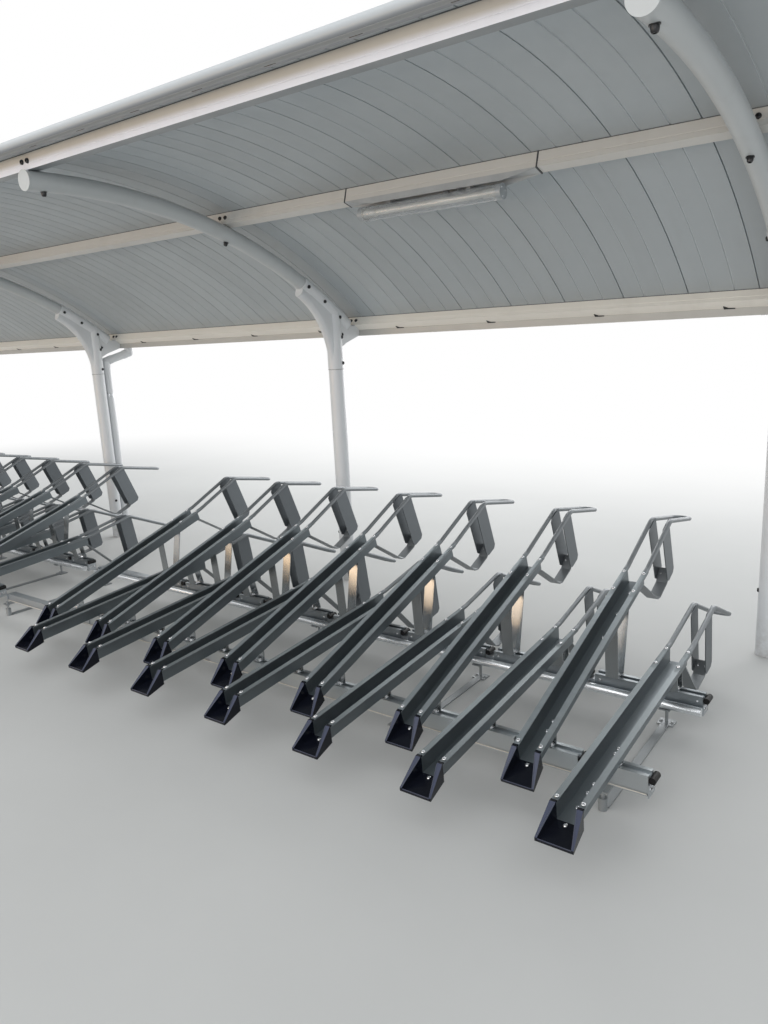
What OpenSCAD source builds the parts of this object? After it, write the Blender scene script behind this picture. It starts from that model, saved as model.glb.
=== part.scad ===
// Cantilever bike shelter with a curved ribbed roof and two groups of sliding bicycle racks.
// X runs along the shelter, the open front faces -Y, and the ground is Z = 0.
// The origin is the middle of the foot of the third post from the left.

/* [Shelter] */
// Distance between posts
bay = 2410; // [1800:10:3000]
// Number of bays
bay_count = 3; // [2:1:4]
// Bays to the left of the origin
bays_left = 2; // [0:1:2]
// Diameter of a post
post_d = 89; // [76:1:115]
// Height of the seam between a post and its knuckle
post_h = 1300; // [1200:10:1400]

/* [Roof] */
// Width of one roof panel
panel_w = 301.25; // [250:0.25:400]
// Panels past the outer posts, counted in half panels
overhang_halves = 5; // [1:2:7]
// Radius of the underside of the roof
roof_r = 3089; // [2900:1:3300]
// How far the middle of the roof's curve lies before the posts
curve_y = -1670; // [-1750:1:-1600]
// Height of the underside of the roof's highest point over the seam on the posts
roof_rise = 939; // [900:1:1050]
// Thickness of the roof sheet
sheet_t = 3; // [2:0.5:6]
// Depth of the groove between two panels
joint_depth = 9; // [5:1:14]
// Width of the groove between two panels
joint_w = 5; // [3:1:8]
// Depth of a stiffening groove within a panel
rib_depth = 4; // [2:1:8]
// Width of a stiffening groove within a panel
rib_w = 7; // [4:1:12]
// Where the front edge of the sheet lies, measured from the posts
roof_front_y = -1862; // [-1950:1:-1850]
// Where the rear edge of the sheet lies, measured from the posts
roof_rear_y = 262; // [240:1:290]

/* [Arms and purlins] */
// Diameter of a curved arm
arm_d = 76; // [60:1:80]
// Front end of an arm, measured from the posts
arm_front_y = -1812; // [-1850:1:-1760]
// Height of a purlin, square to the roof
purlin_h = 60; // [40:1:80]
// Depth of a purlin, along the roof
purlin_w = 50; // [40:1:70]
// Front face of the front beam, measured from the posts
front_beam_y = -1800; // [-1830:1:-1770]
// Front face of the middle purlin, measured from the posts
mid_purlin_y = -806; // [-900:1:-700]
// Front face of the rear beam, measured from the posts
rear_beam_y = 174; // [160:1:200]

/* [Knuckles] */
// Wall of the knuckle round the arm
knuckle_wall = 5; // [3:1:8]
// Front end of the knuckle's sleeve, measured from the posts
knuckle_front_y = -262; // [-330:1:-220]
// Rear end of the knuckle's sleeve, measured from the posts
knuckle_rear_y = 108; // [90:1:120]
// Thickness of the web below the arm
web_t = 52; // [40:1:64]
// Thickness of the ear that carries the rear beam and the gutter
ear_t = 46; // [30:1:60]

/* [Gutters and downpipe] */
// Radius of the rounded front edge
trim_r = 21; // [15:1:28]
// Height of the gutter's front wall, which ends under the rear beam
gutter_front_h = 35; // [25:1:60]
// Height of the gutter's rear wall
gutter_rear_h = 112; // [80:1:130]
// Width of the rear gutter
gutter_w = 88; // [70:1:140]
// Wall of the rear gutter
gutter_wall = 3; // [2:0.5:5]
// Diameter of the downpipe
pipe_d = 60; // [45:1:70]

/* [Light] */
// Left end of the light, measured from the origin
light_x = 779; // [600:1:1000]
// Length of the light's bracket, from strap to strap
light_len = 910; // [800:1:1100]
// Distance from the bracket's left end to the clear cover
cover_inset = 106; // [90:1:130]
// Length of the clear cover
cover_len = 640; // [500:1:660]
// Diameter of the clear cover
cover_d = 60; // [46:1:70]
// Height of the bracket's side flanges
bracket_h = 28; // [20:1:40]
// Diameter of the lamp
lamp_d = 26; // [16:1:30]

/* [Rails] */
// Right end of the right pair of rails
rail_end_x = 2360; // [2300:1:2365]
// Gap between the two pairs of rails
rail_gap = 120; // [80:1:200]
// Front rail, measured from the posts
front_rail_y = -1440; // [-1480:1:-1400]
// Rear rail, measured from the posts
rear_rail_y = -830; // [-860:1:-800]
// Height of the underside of the rails
rail_z = 72; // [60:1:90]
// Height of a rail
rail_h = 40; // [30:1:50]
// Width of a rail between its flanges
rail_w = 38; // [30:1:50]
// Thickness of the rail's steel
rail_t = 3; // [2:0.5:5]

/* [Racks] */
// Pairs of racks on one pair of rails
pair_count = 7; // [3:1:7]
// Distance between two racks of the same height
pitch = 450; // [430:1:470]
// Distance from the rail's end to the first lower rack
end_to_lower = 115; // [100:1:140]
// Tilt of an upper rack
upper_tilt = 17.6; // [14:0.1:20]
// Tilt of a lower rack
lower_tilt = 4.6; // [3:0.1:8]
// Front rivet of an upper rack, measured from the posts
upper_y = -1580; // [-1620:1:-1540]
// Height of the lip at the front rivet of an upper rack
upper_z = 201; // [190:1:230]
// Front rivet of a lower rack, measured from the posts
lower_y = -1789; // [-1830:1:-1750]
// Height of the lip at the front rivet of a lower rack
lower_z = 195; // [190:1:220]
// Length of a tray between its front rivet and its rear end
tray_len = 1008; // [950:1:1050]
// Clear width between the tray's walls
slot_w = 60; // [50:1:64]
// Depth of the tray
tray_h = 57; // [50:1:62]
// Thickness of the tray's steel
tray_t = 3; // [2:0.5:4]
// Width of each lip
lip_w = 17; // [14:1:20]
// Diameter of the wheel hoop's bar
bar_d = 19; // [14:1:22]
// Free rail that the first rack can slide along
slide_run = 600; // [100:10:700]
// Clearance between a sliding carriage and its rail
slide_gap = 0.5; // [0.3:0.1:1]

/* [Hidden] */
$fn = 48;

white = [0.90, 0.91, 0.91];
cream = [0.80, 0.79, 0.75];
sheet_grey = [0.58, 0.60, 0.61];
zinc = [0.72, 0.74, 0.76];
rack_grey = [0.38, 0.42, 0.43];
black = [0.09, 0.09, 0.11];
clear_grey = [0.85, 0.87, 0.88];

first_post_x = -bays_left * bay;
overhang = overhang_halves * panel_w / 2;
roof_x0 = first_post_x - overhang;
roof_len = bay_count * bay + 2 * overhang;
panel_count = round(roof_len / panel_w);
panel_real_w = roof_len / panel_count;
curve_z = post_h + roof_rise - roof_r;
seat_gap = 0.3;
seat_r = roof_r - purlin_h;
arm_r = seat_r - arm_d / 2;

// Polar angle at which a circle of radius r round the roof's centre line passes y
function arc_angle(r, y) = acos((y - curve_y) / r);
// Height of the circle of radius r at y
function arc_z(r, y) = curve_z + r * sin(arc_angle(r, y));

// Turns a flat outline so that its x runs along Y, its y along Z and its height along X
module along_x() {
    rotate([90, 0, 90]) children();
}

// Revolves a profile (radius, X) round the roof's centre line between two angles
module revolve(a0, a1) {
    translate([0, curve_y, curve_z])
        along_x()
            rotate([0, 0, a0])
                rotate_extrude(angle = a1 - a0, $fn = 720)
                    children();
}

// Frame on the roof's curve: X stays, Y points away from the centre and Z along the curve to the front
module at_curve(r, angle) {
    translate([0, curve_y, curve_z])
        rotate([angle, 0, 0])
            translate([0, r, 0])
                children();
}

// Puts an outline (radial, tangential) on the roof's curve and extrudes it along X
module on_curve(r, angle, x0, len) {
    at_curve(r, angle)
        translate([x0, 0, 0])
            along_x()
                linear_extrude(height = len)
                    children();
}

// Unit normal to the left of the way from p to q
function left_of(p, q) = [p[1] - q[1], q[0] - p[0]] / norm(q - p);
// Point i of a path, moved to the left so that each stretch of the path moves by t
function moved(path, i, t) =
    let (n = len(path) - 1,
        before = left_of(path[max(i - 1, 0)], path[max(i, 1)]),
        after = left_of(path[min(i, n - 1)], path[min(i + 1, n)]))
    path[i] + (before + after) * t / (1 + before * after);

// Outline of a bent strip: the path, and the same path moved to its left by t
module strip(path, t) {
    last = len(path) - 1;
    polygon(concat(path, [for (i = [0 : last]) moved(path, last - i, t)]));
}

module at_posts() {
    for (i = [0 : bay_count])
        translate([first_post_x + i * bay, 0, 0])
            children();
}

module posts() {
    color(white)
        at_posts()
            cylinder(d = post_d, h = post_h);
}

arm_end_a = arc_angle(arm_r, arm_front_y);
arm_root_y = -30;
arm_root_a = arc_angle(arm_r, arm_root_y);

module arms() {
    color(white)
        at_posts()
            revolve(arm_root_a, arm_end_a)
                translate([arm_r, 0])
                    circle(d = arm_d, $fn = 48);
}

cap_t = 5;
cap_d = arm_d + 3;

module arm_caps() {
    color(white)
        at_posts()
            translate([0, curve_y, curve_z])
                rotate([arm_end_a, 0, 0])
                    translate([0, arm_r, 0])
                        cylinder(d = cap_d, h = cap_t);
}

// Knuckle: a sleeve round the arm, a socket on the post, a curved web and an ear to the rear
sleeve_d = arm_d + 2 * knuckle_wall;
bore_d = arm_d + 2 * seat_gap;
web_r = 470;
web_round = web_t / 2;
web_cy = -post_d / 2 - web_r;
web_a = 62;
knuckle_front_a = arc_angle(arm_r, knuckle_front_y);
knuckle_rear_a = arc_angle(arm_r, knuckle_rear_y);
collar_top = arc_z(arm_r, 0);
web_steps = 10;

module web_outline() {
    edge_r = web_r + web_round;
    polygon(concat(
        [for (i = [0 : web_steps])
            let (a = web_a * i / web_steps)
                [web_cy + edge_r * cos(a), post_h + edge_r * sin(a)]],
        [for (i = [0 : web_steps])
            let (a = knuckle_front_a + (knuckle_rear_a - knuckle_front_a) * i / web_steps)
                [curve_y + arm_r * cos(a), curve_z + arm_r * sin(a)]],
        [[post_d / 2 - 8, post_h + 160], [post_d / 2 - 8, post_h]]));
}

// Point of a purlin's foot: side 1 is its front corner, -1 its rear one, and drop lies below the foot
function purlin_foot(angle, side, drop) =
    [curve_y, curve_z]
    + (seat_r - drop) * [cos(angle), sin(angle)]
    + side * purlin_w / 2 * [-sin(angle), cos(angle)];

rear_a = purlin_angle(rear_beam_y);
rear_corner = purlin_foot(rear_a, -1, 0);
gutter_y = rear_corner[0];
gutter_z = rear_corner[1] - seat_gap - gutter_front_h;

// The ear runs from the sleeve's end down to the rear beam, under it, and down along the gutter
module ear_outline() {
    tip_y = gutter_y - seat_gap;
    polygon([
        [0, arc_z(arm_r, 0)],
        [curve_y, curve_z] + arm_r * [cos(knuckle_rear_a), sin(knuckle_rear_a)],
        purlin_foot(rear_a, 1, seat_gap) - [12, 8],
        purlin_foot(rear_a, 1, seat_gap),
        purlin_foot(rear_a, -1, seat_gap) - [seat_gap, 0],
        [tip_y, gutter_z + 10],
        [tip_y - 10, gutter_z],
        [post_d, post_h + 152],
        [0, post_h + 110]]);
}

module knuckle() {
    difference() {
        union() {
            translate([0, 0, post_h])
                cylinder(d = post_d + 3, h = collar_top - post_h);
            revolve(knuckle_rear_a, knuckle_front_a)
                translate([arm_r, 0])
                    circle(d = sleeve_d, $fn = 48);
            translate([-web_t / 2, 0, 0])
                along_x()
                    linear_extrude(height = web_t)
                        web_outline();
            translate([0, web_cy, post_h])
                along_x()
                    rotate_extrude(angle = web_a)
                        translate([web_r + web_round, 0])
                            circle(d = web_t);
            translate([-ear_t / 2, 0, 0])
                along_x()
                    linear_extrude(height = ear_t)
                        ear_outline();
        }
        revolve(arm_root_a - 0.4, knuckle_front_a + 2)
            translate([arm_r, 0])
                circle(d = bore_d, $fn = 48);
        translate([-post_d, -post_d, post_h - 40])
            cube([2 * post_d, 2 * post_d, 40]);
    }
}

module knuckles() {
    color(white)
        at_posts()
            knuckle();
}

// Outline of a purlin: a box with a shallow groove along each face and a lip along its foot
module purlin_outline() {
    groove = 1.5;
    lip = 18;
    top = purlin_h - seat_gap;
    half = purlin_w / 2;
    polygon([
        [0, half], [0, -half], [top, -half], [top, half],
        [lip + 4, half], [lip + 2, half - groove], [lip, half]]);
}

// Angle of a purlin whose lower front corner lies at y
function purlin_angle(y) = arc_angle(seat_r, y) - asin(purlin_w / 2 / seat_r);

module purlin(y) {
    on_curve(seat_r, purlin_angle(y), roof_x0 + 12, roof_len - 24)
        purlin_outline();
}

module front_beam() {
    color(white) purlin(front_beam_y);
}

module middle_purlin() {
    color(cream) purlin(mid_purlin_y);
}

module rear_beam() {
    color(cream) purlin(rear_beam_y);
}

// Roof: panels side by side, each with two stiffening grooves, and a deeper joint groove between
rib_pitch = panel_real_w / 3;
function groove_points(x, w, d, r) = [[r, x - w / 2], [r + d, x - w / 4], [r + d, x + w / 4], [r, x + w / 2]];
function groove_top(x, w, d, r) = [
    [r, x + w / 2 + sheet_t], [r + d, x + w / 4 + sheet_t],
    [r + d, x - w / 4 - sheet_t], [r, x - w / 2 - sheet_t]];

roof_front_a = arc_angle(roof_r, roof_front_y);
roof_rear_a = arc_angle(roof_r, roof_rear_y);

// Sheet between two stations, counted in thirds of a panel from the left end of the roof
module roof_profile(from, to) {
    x0 = roof_x0 + from * rib_pitch;
    x1 = roof_x0 + to * rib_pitch;
    first = floor(from) + 1;
    last = ceil(to) - 1;
    under = [for (i = [first : last])
        for (p = groove_points(roof_x0 + i * rib_pitch, i % 3 == 0 ? joint_w : rib_w,
                i % 3 == 0 ? joint_depth : rib_depth, roof_r)) p];
    over = [for (k = [first : last])
        let (i = first + last - k)
            for (p = groove_top(roof_x0 + i * rib_pitch, i % 3 == 0 ? joint_w : rib_w,
                    i % 3 == 0 ? joint_depth : rib_depth, roof_r + sheet_t)) p];
    polygon(concat(
        [[roof_r, x0]], under, [[roof_r, x1]],
        [[roof_r + sheet_t, x1]], over, [[roof_r + sheet_t, x0]]));
}

module roof_part(from, to) {
    color(sheet_grey)
        revolve(roof_rear_a, roof_front_a)
            roof_profile(from, to);
}

third = 3 * round(panel_count / 3) + 1.5;
two_thirds = 3 * panel_count - third;

module roof_left() {
    roof_part(0, third);
}

module roof_middle() {
    roof_part(third, two_thirds);
}

module roof_right() {
    roof_part(two_thirds, 3 * panel_count);
}

// Rounded trim before the front edge of the roof, with a flange over the ribs of the sheet
trim_back = curve_y + (roof_r + sheet_t + joint_depth) * cos(roof_front_a) - seat_gap;
trim_z = arc_z(roof_r, roof_front_y) + 5;
trim_flange = 24;
trim_t = 3;

module trim_outline() {
    ridge_z = arc_z(roof_r + sheet_t + joint_depth, trim_back + trim_flange) + seat_gap;
    translate([trim_back - trim_r - 2, trim_z])
        circle(r = trim_r);
    translate([trim_back - trim_r - 2, trim_z - trim_r])
        square([trim_r + 2, 2 * trim_r]);
    translate([trim_back - trim_r - 2, ridge_z])
        square([trim_r + 2 + trim_flange, trim_t]);
    translate([trim_back - trim_t, trim_z])
        square([trim_t, ridge_z + trim_t - trim_z]);
}

module front_trim() {
    color(white)
        translate([roof_x0, 0, 0])
            along_x()
                linear_extrude(height = roof_len)
                    trim_outline();
}

// Rear gutter: an open trough under the rear edge of the sheet
module gutter_outline() {
    turned = 12;
    inner = gutter_w - gutter_wall;
    polygon([
        [0, 0], [gutter_w, 0], [gutter_w, gutter_rear_h], [gutter_w - turned, gutter_rear_h],
        [gutter_w - turned, gutter_rear_h - gutter_wall], [inner, gutter_rear_h - gutter_wall],
        [inner, gutter_wall], [gutter_wall, gutter_wall],
        [gutter_wall, gutter_front_h], [0, gutter_front_h]]);
}

module rear_gutter() {
    color(white)
        translate([roof_x0, gutter_y, gutter_z])
            along_x()
                linear_extrude(height = roof_len)
                    gutter_outline();
}

// End plates of the gutter, which follow the roof's slope down to its front wall
module gutter_ends() {
    cap_w = 4;
    color(white)
        for (x = [roof_x0 - cap_w - seat_gap, roof_x0 + roof_len + seat_gap])
            translate([x, gutter_y, gutter_z])
                along_x()
                    linear_extrude(height = cap_w)
                        polygon([
                            [0, 0], [gutter_w, 0], [gutter_w, gutter_rear_h],
                            [gutter_w - 26, gutter_rear_h], [0, gutter_front_h]]);
}

// Downpipe behind the second post: outlet, two elbows and the long drop
pipe_gap = 6;
pipe_x = first_post_x + bay;
pipe_y = post_d / 2 + pipe_d / 2 + pipe_gap;
outlet_x = pipe_x + 60;
outlet_y = gutter_y + gutter_w / 2;
pipe_knee = [outlet_x, outlet_y, gutter_z - 36];
pipe_bend = [pipe_x, pipe_y, gutter_z - 94];
socket_d = pipe_d + 5;
socket_at = 24;
socket_len = 26;

// Straight pipe from p to q, with a socket near each end that meets an elbow
module pipe_run(p, q, socket_p, socket_q) {
    d = q - p;
    translate(p)
        rotate([0, acos(d[2] / norm(d)), atan2(d[1], d[0])]) {
            cylinder(d = pipe_d, h = norm(d));
            if (socket_p)
                translate([0, 0, socket_at])
                    cylinder(d = socket_d, h = socket_len);
            if (socket_q)
                translate([0, 0, norm(d) - socket_at - socket_len])
                    cylinder(d = socket_d, h = socket_len);
        }
}

module elbow(p) {
    translate(p)
        sphere(d = pipe_d + 3);
}

module downpipe() {
    color(white)
        union() {
            pipe_run([outlet_x, outlet_y, gutter_z - seat_gap], pipe_knee, false, false);
            elbow(pipe_knee);
            pipe_run(pipe_knee, pipe_bend, true, true);
            elbow(pipe_bend);
            pipe_run(pipe_bend, [pipe_x, pipe_y, 0], true, false);
        }
}

// Clips that hold the downpipe to its post
clip_h = 22;
clip_t = 3;

module pipe_clip() {
    difference() {
        union() {
            cylinder(d = pipe_d + 2 * seat_gap + 2 * clip_t, h = clip_h);
            translate([-clip_h / 2, -pipe_y + post_d / 2 - 4, 0])
                cube([clip_h, pipe_gap + 10, clip_h]);
        }
        translate([0, 0, -5])
            cylinder(d = pipe_d + 2 * seat_gap, h = clip_h + 10);
        translate([0, -pipe_y, -5])
            cylinder(d = post_d + 2 * seat_gap, h = clip_h + 10);
    }
}

module pipe_clips() {
    color(zinc)
        for (z = [350, 1120])
            translate([pipe_x, pipe_y, z])
                pipe_clip();
}

// Light: two straps hold a bracket with tapered flanges under the middle purlin, and a clear tube
// with end caps hangs on it
mid_a = purlin_angle(mid_purlin_y);
strap_t = 2;
strap_w = 5;
plate_t = 3;
plate_low = seat_gap + plate_t;
taper = 150;
cover_wall = 2;
cover_x = light_x + cover_inset;
cover_r = seat_r - seat_gap - bracket_h - seat_gap - cover_d / 2;
cap_len = 22;
lamp_gap = 14;
holder_len = 60;

hanger_w = 18;
hanger_half = 14;

// U of flat strap up both faces of the purlin, which grips the edges of the bracket's plate
module strap_outline() {
    half = purlin_w / 2 + seat_gap;
    top = purlin_h - 4 * seat_gap;
    strip([[top, half], [1 - plate_low, half], [1 - plate_low, -half], [top, -half]], -strap_t);
}

// Block under the bracket's plate, with a saddle for the clear tube
module hanger(x) {
    at_curve(seat_r, mid_a)
        difference() {
            translate([x, -bracket_h - 5, -hanger_half])
                cube([hanger_w, bracket_h + 5 - plate_low + 1, 2 * hanger_half]);
            translate([x - 5, cover_r - seat_r, 0])
                rotate([0, 90, 0])
                    cylinder(d = cover_d + 2 * seat_gap, h = hanger_w + 10);
        }
}

module bracket_flange() {
    linear_extrude(height = plate_t)
        polygon([
            [light_x + strap_w + 1, -plate_low], [light_x + taper, -bracket_h - seat_gap],
            [light_x + light_len - taper, -bracket_h - seat_gap], [light_x + light_len - strap_w - 1, -plate_low],
            [light_x + light_len - strap_w - 1, -seat_gap], [light_x + strap_w + 1, -seat_gap]]);
}

module light_bracket() {
    color(zinc)
        union() {
            on_curve(seat_r, mid_a, light_x, light_len)
                translate([-plate_low, -purlin_w / 2])
                    square([plate_t, purlin_w]);
            for (z = [-purlin_w / 2 - 1, purlin_w / 2 + 1 - plate_t])
                at_curve(seat_r, mid_a)
                    translate([0, 0, z])
                        bracket_flange();
            for (x = [light_x, light_x + light_len - strap_w])
                on_curve(seat_r, mid_a, x, strap_w)
                    strap_outline();
            for (share = [0.2, 0.8])
                hanger(cover_x + share * cover_len - hanger_w / 2);
        }
}

module light_body() {
    color(white) {
        for (x = [cover_x - cap_len, cover_x + cover_len])
            at_curve(cover_r, mid_a)
                translate([x, 0, 0])
                    rotate([0, 90, 0])
                        cylinder(d = cover_d, h = cap_len);
        for (x = [cover_x + seat_gap, cover_x + cover_len - seat_gap - holder_len])
            at_curve(cover_r, mid_a)
                translate([x, 0, 0])
                    rotate([0, 90, 0])
                        cylinder(d = lamp_d + 8, h = holder_len);
        at_curve(cover_r, mid_a)
            translate([cover_x + 2 * seat_gap + holder_len, 0, 0])
                rotate([0, 90, 0])
                    cylinder(d = lamp_d, h = cover_len - 2 * holder_len - 4 * seat_gap);
    }
}

module light_cover() {
    color(clear_grey)
        at_curve(cover_r, mid_a)
            translate([cover_x + seat_gap, 0, 0])
                rotate([0, 90, 0])
                    difference() {
                        cylinder(d = cover_d, h = cover_len - 2 * seat_gap);
                        translate([0, 0, -5])
                            cylinder(d = cover_d - 2 * cover_wall, h = cover_len + 10);
                    }
}

// Rails: two pairs, each a hat section at the front and at the rear
flange = 10;
end_clear = 40;
carriage_left = 70;
carriage_right = 113;
end_plate_t = 4;
rail_len = end_to_lower + (pair_count - 0.5) * pitch + carriage_left + slide_run + end_clear;
rail_ends = [rail_end_x, rail_end_x - rail_len - rail_gap];

module hat_outline() {
    half = rail_w / 2;
    polygon([
        [-half - flange, 0], [-half, 0], [-half, rail_h - rail_t],
        [half, rail_h - rail_t], [half, 0], [half + flange, 0],
        [half + flange, rail_t], [half + rail_t, rail_t], [half + rail_t, rail_h],
        [-half - rail_t, rail_h], [-half - rail_t, rail_t], [-half - flange, rail_t]]);
}

// Rail with a plate across each end
module rail(y) {
    half = rail_w / 2 + flange;
    translate([0, y, rail_z]) {
        along_x()
            linear_extrude(height = rail_len)
                hat_outline();
        for (x = [-end_plate_t + 1, rail_len - 1])
            translate([x, -half, -6])
                cube([end_plate_t, 2 * half, rail_h + 5]);
    }
}

module rails(y) {
    for (x = rail_ends)
        translate([x - rail_len, 0, 0])
            rail(y);
}

module front_rails() {
    color(zinc) rails(front_rail_y);
}

module rear_rails() {
    color(zinc) rails(rear_rail_y);
}

// Tubes: they lie before the rear rails, on the same feet, clear of what slides
tube_d = 34;
tube_z = rail_z + tube_d / 2;
carriage_t = 3;
carriage_half = rail_w / 2 + rail_t + slide_gap + carriage_t;
tube_clear = 5;
tube_y = rear_rail_y - carriage_half - tube_clear - tube_d / 2;

module rear_tubes() {
    color(zinc)
        for (x = rail_ends)
            translate([x - rail_len, tube_y, tube_z])
                rotate([0, 90, 0])
                    cylinder(d = tube_d, h = rail_len);
}

// Feet: at the front a bracket, a stud and a sleeve, and at the rear a stud on a plate
foot_at = [[130, 930, 1865, 2800, 3700], [340, 1140, 1940, 2740, 3540]];
stud_d = 12;
sleeve_h = 42;
foot_d = 28;
nut_d = 22;
foot_reach = 58;
rear_foot = [60, 50, 5];
tie_w = 30;
tie_t = 5;

bracket_t = 5;
rise = rail_z - seat_gap - bracket_t;

module front_foot() {
    translate([-20, -foot_reach - 16, rise])
        cube([40, foot_reach + 16, bracket_t]);
    translate([0, -foot_reach, 0]) {
        cylinder(d = foot_d, h = sleeve_h);
        cylinder(d = stud_d, h = rise + bracket_t + 12);
        translate([0, 0, rise - 8])
            cylinder(d = nut_d, h = 9, $fn = 6);
    }
}

module rear_foot() {
    from = tube_y - rear_rail_y - 12;
    translate([-20, from, rise])
        cube([40, -from, bracket_t]);
    translate([0, -rail_w / 2 - 2, 0]) {
        translate([-rear_foot[0] / 2, -rear_foot[1] / 2, 0])
            cube(rear_foot);
        cylinder(d = stud_d, h = rise + 1);
        translate([0, 0, rise - 8])
            cylinder(d = nut_d, h = 9, $fn = 6);
    }
}

module at_feet() {
    for (g = [0, 1], d = foot_at[g])
        translate([rail_ends[g] - d, 0, 0])
            children();
}

module rail_feet() {
    color(zinc)
        at_feet() {
            translate([0, front_rail_y, 0]) front_foot();
            translate([0, rear_rail_y, 0]) rear_foot();
        }
}

module cross_ties() {
    from = front_rail_y - foot_reach + foot_d / 2 + seat_gap;
    to = rear_rail_y - rail_w / 2 - 2 - rear_foot[1] / 2 - seat_gap;
    color(zinc)
        at_feet()
            translate([-tie_w / 2, from, 0])
                cube([tie_w, to - from, tie_t]);
}

// Racks: each is drawn in its own frame, with s along the tray, x across and t square to it
carriage_top = rail_z + rail_h + 26;
upper_offset = end_to_lower + pitch / 2;

module rack_frame(y, z, tilt) {
    translate([0, y, z])
        rotate([tilt, 0, 0])
            children();
}

module as_upper() {
    rack_frame(upper_y, upper_z, upper_tilt) children();
}

module as_lower() {
    rack_frame(lower_y, lower_z, lower_tilt) children();
}

// Places of the fixed upper racks: all but the one that slides
upper_x = [for (g = [0, 1], i = [0 : pair_count - 1])
    if (!(g == 0 && i == pair_count - 1)) rail_ends[g] - upper_offset - i * pitch];
lower_x = [for (g = [0, 1], i = [0 : pair_count - 1]) rail_ends[g] - end_to_lower - i * pitch];
first_x = rail_ends[0] - upper_offset - (pair_count - 1) * pitch;

module at_each(places) {
    for (x = places)
        translate([x, 0, 0])
            children();
}

tray_front = -22;

module tray() {
    half = slot_w / 2;
    translate([0, tray_len, 0])
        rotate([90, 0, 0])
            linear_extrude(height = tray_len - tray_front)
                polygon([
                    [-half - lip_w - tray_t, 0], [-half, 0], [-half, -tray_h + tray_t],
                    [half, -tray_h + tray_t], [half, 0], [half + lip_w + tray_t, 0],
                    [half + lip_w + tray_t, -tray_t], [half + tray_t, -tray_t], [half + tray_t, -tray_h],
                    [-half - tray_t, -tray_h], [-half - tray_t, -tray_t], [-half - lip_w - tray_t, -tray_t]]);
}

// Wheel hoop: two bars leave the tray under its lips, rise, bend over and meet in a half ring
bar_x = 40;
bend_r = 60;
bend_swell = 0.15;
bend_grip = 2;
tab_t = 6;
tab_len = 150;
hoop_start = [tray_len + 3, -2];
hoop_lead = [tray_len + 30, -2];
hoop_bend = [1353, 38];
hoop_end = [1610, -98];

// Direction from p to q in the plane of the bar
function heading(p, q) = atan2(q[1] - p[1], q[0] - p[0]);
// Length that a bend takes from each of the two straights it joins
function bend_trim(a, b) = bend_r * tan(abs(b - a) / 2);

// Straight bar from p to q, shortened at both ends
module bar(p, q, trim_p, trim_q) {
    translate([p[0], p[1], 0])
        rotate([0, 0, heading(p, q)])
            translate([trim_p, 0, 0])
                rotate([0, 90, 0])
                    cylinder(d = bar_d, h = norm(q - p) - trim_p - trim_q);
}

// Bend at point p from heading a to heading b, a hair thicker than the bars that it grips
module bend(p, a, b) {
    side = b > a ? 1 : -1;
    trim = bend_trim(a, b);
    centre = p + [-trim * cos(a) - side * bend_r * sin(a), -trim * sin(a) + side * bend_r * cos(a)];
    from = side > 0 ? a - 90 : b + 90;
    translate([centre[0], centre[1], 0])
        rotate([0, 0, from])
            rotate_extrude(angle = abs(b - a), $fn = 96)
                translate([bend_r, 0])
                    circle(d = bar_d + 2 * bend_swell, $fn = 48);
}

module hoop() {
    rise = heading(hoop_lead, hoop_bend);
    slope = heading(hoop_bend, hoop_end);
    t1 = bend_trim(0, rise) - bend_grip;
    t2 = bend_trim(rise, slope) - bend_grip;
    union() {
        for (side = [-1, 1]) {
            translate([side * bar_x, 0, 0])
                along_x() {
                    bar(hoop_start, hoop_lead, 0, t1);
                    bend(hoop_lead, 0, rise);
                    bar(hoop_lead, hoop_bend, t1, t2);
                    bend(hoop_bend, rise, slope);
                    bar(hoop_bend, hoop_end, t2, -bend_grip);
                }
            tab_x = slot_w / 2 + tray_t + seat_gap;
            tab_w = lip_w - seat_gap;
            translate([side > 0 ? tab_x : -tab_x - tab_w, tray_len - tab_len, -tray_t - seat_gap - tab_t])
                cube([tab_w, tab_len + 12, tab_t]);
        }
        translate([0, hoop_end[0], hoop_end[1]])
            rotate([slope, 0, 0])
                rotate_extrude(angle = 180)
                    translate([bar_x, 0])
                        circle(d = bar_d + 2 * bend_swell);
    }
}

// Guide plates: two flat plates hang between the hoop's bars and close in towards the cradle
strap = 48;
guide_t = 4;
guide_w = 92;
guide_top = [1322, 34];
guide_bottom = [1346, -246];
guide_half_top = bar_x - bar_d / 2 - bend_swell - seat_gap - guide_t / 2;
guide_half_low = strap / 2 + seat_gap + guide_t / 2;

module guide_plate(side) {
    drop = guide_top[1] - guide_bottom[1];
    lean = atan((guide_half_top - guide_half_low) / drop);
    swing = atan((guide_bottom[0] - guide_top[0]) / drop);
    clip = 16;
    translate([side * guide_half_top, guide_top[0], guide_top[1]])
        rotate([swing, 0, 0])
            rotate([0, side * lean, 0])
                translate([-guide_t / 2, 0, 0])
                    along_x()
                        linear_extrude(height = guide_t)
                            polygon([
                                [-guide_w / 2, -clip], [-guide_w / 2 + clip, 0], [guide_w / 2, 0],
                                [guide_w / 2, -drop + clip], [guide_w / 2 - clip, -drop],
                                [-guide_w / 2 + clip, -drop], [-guide_w / 2, -drop + clip]]);
}

module plates() {
    guide_plate(-1);
    guide_plate(1);
}

// Cradle: a flat strap that drops behind the tray and rises between the plates
cradle_t = 5;

module cradle() {
    top = -tray_h - seat_gap;
    translate([-strap / 2, 0, 0])
        along_x()
            linear_extrude(height = strap)
                strip([
                    [tray_len - 30, top], [tray_len + 2, top], [1176, -246],
                    [1205, -258], [1300, -250], [1362, -214]], -cradle_t);
}

// Legs: bent strips of flat steel between a carriage and the tray over it
leg_w = 50;
leg_t = 4;
leg_base = carriage_top + seat_gap;
leg_flange = 26;
leg_foot = 32;

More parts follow.
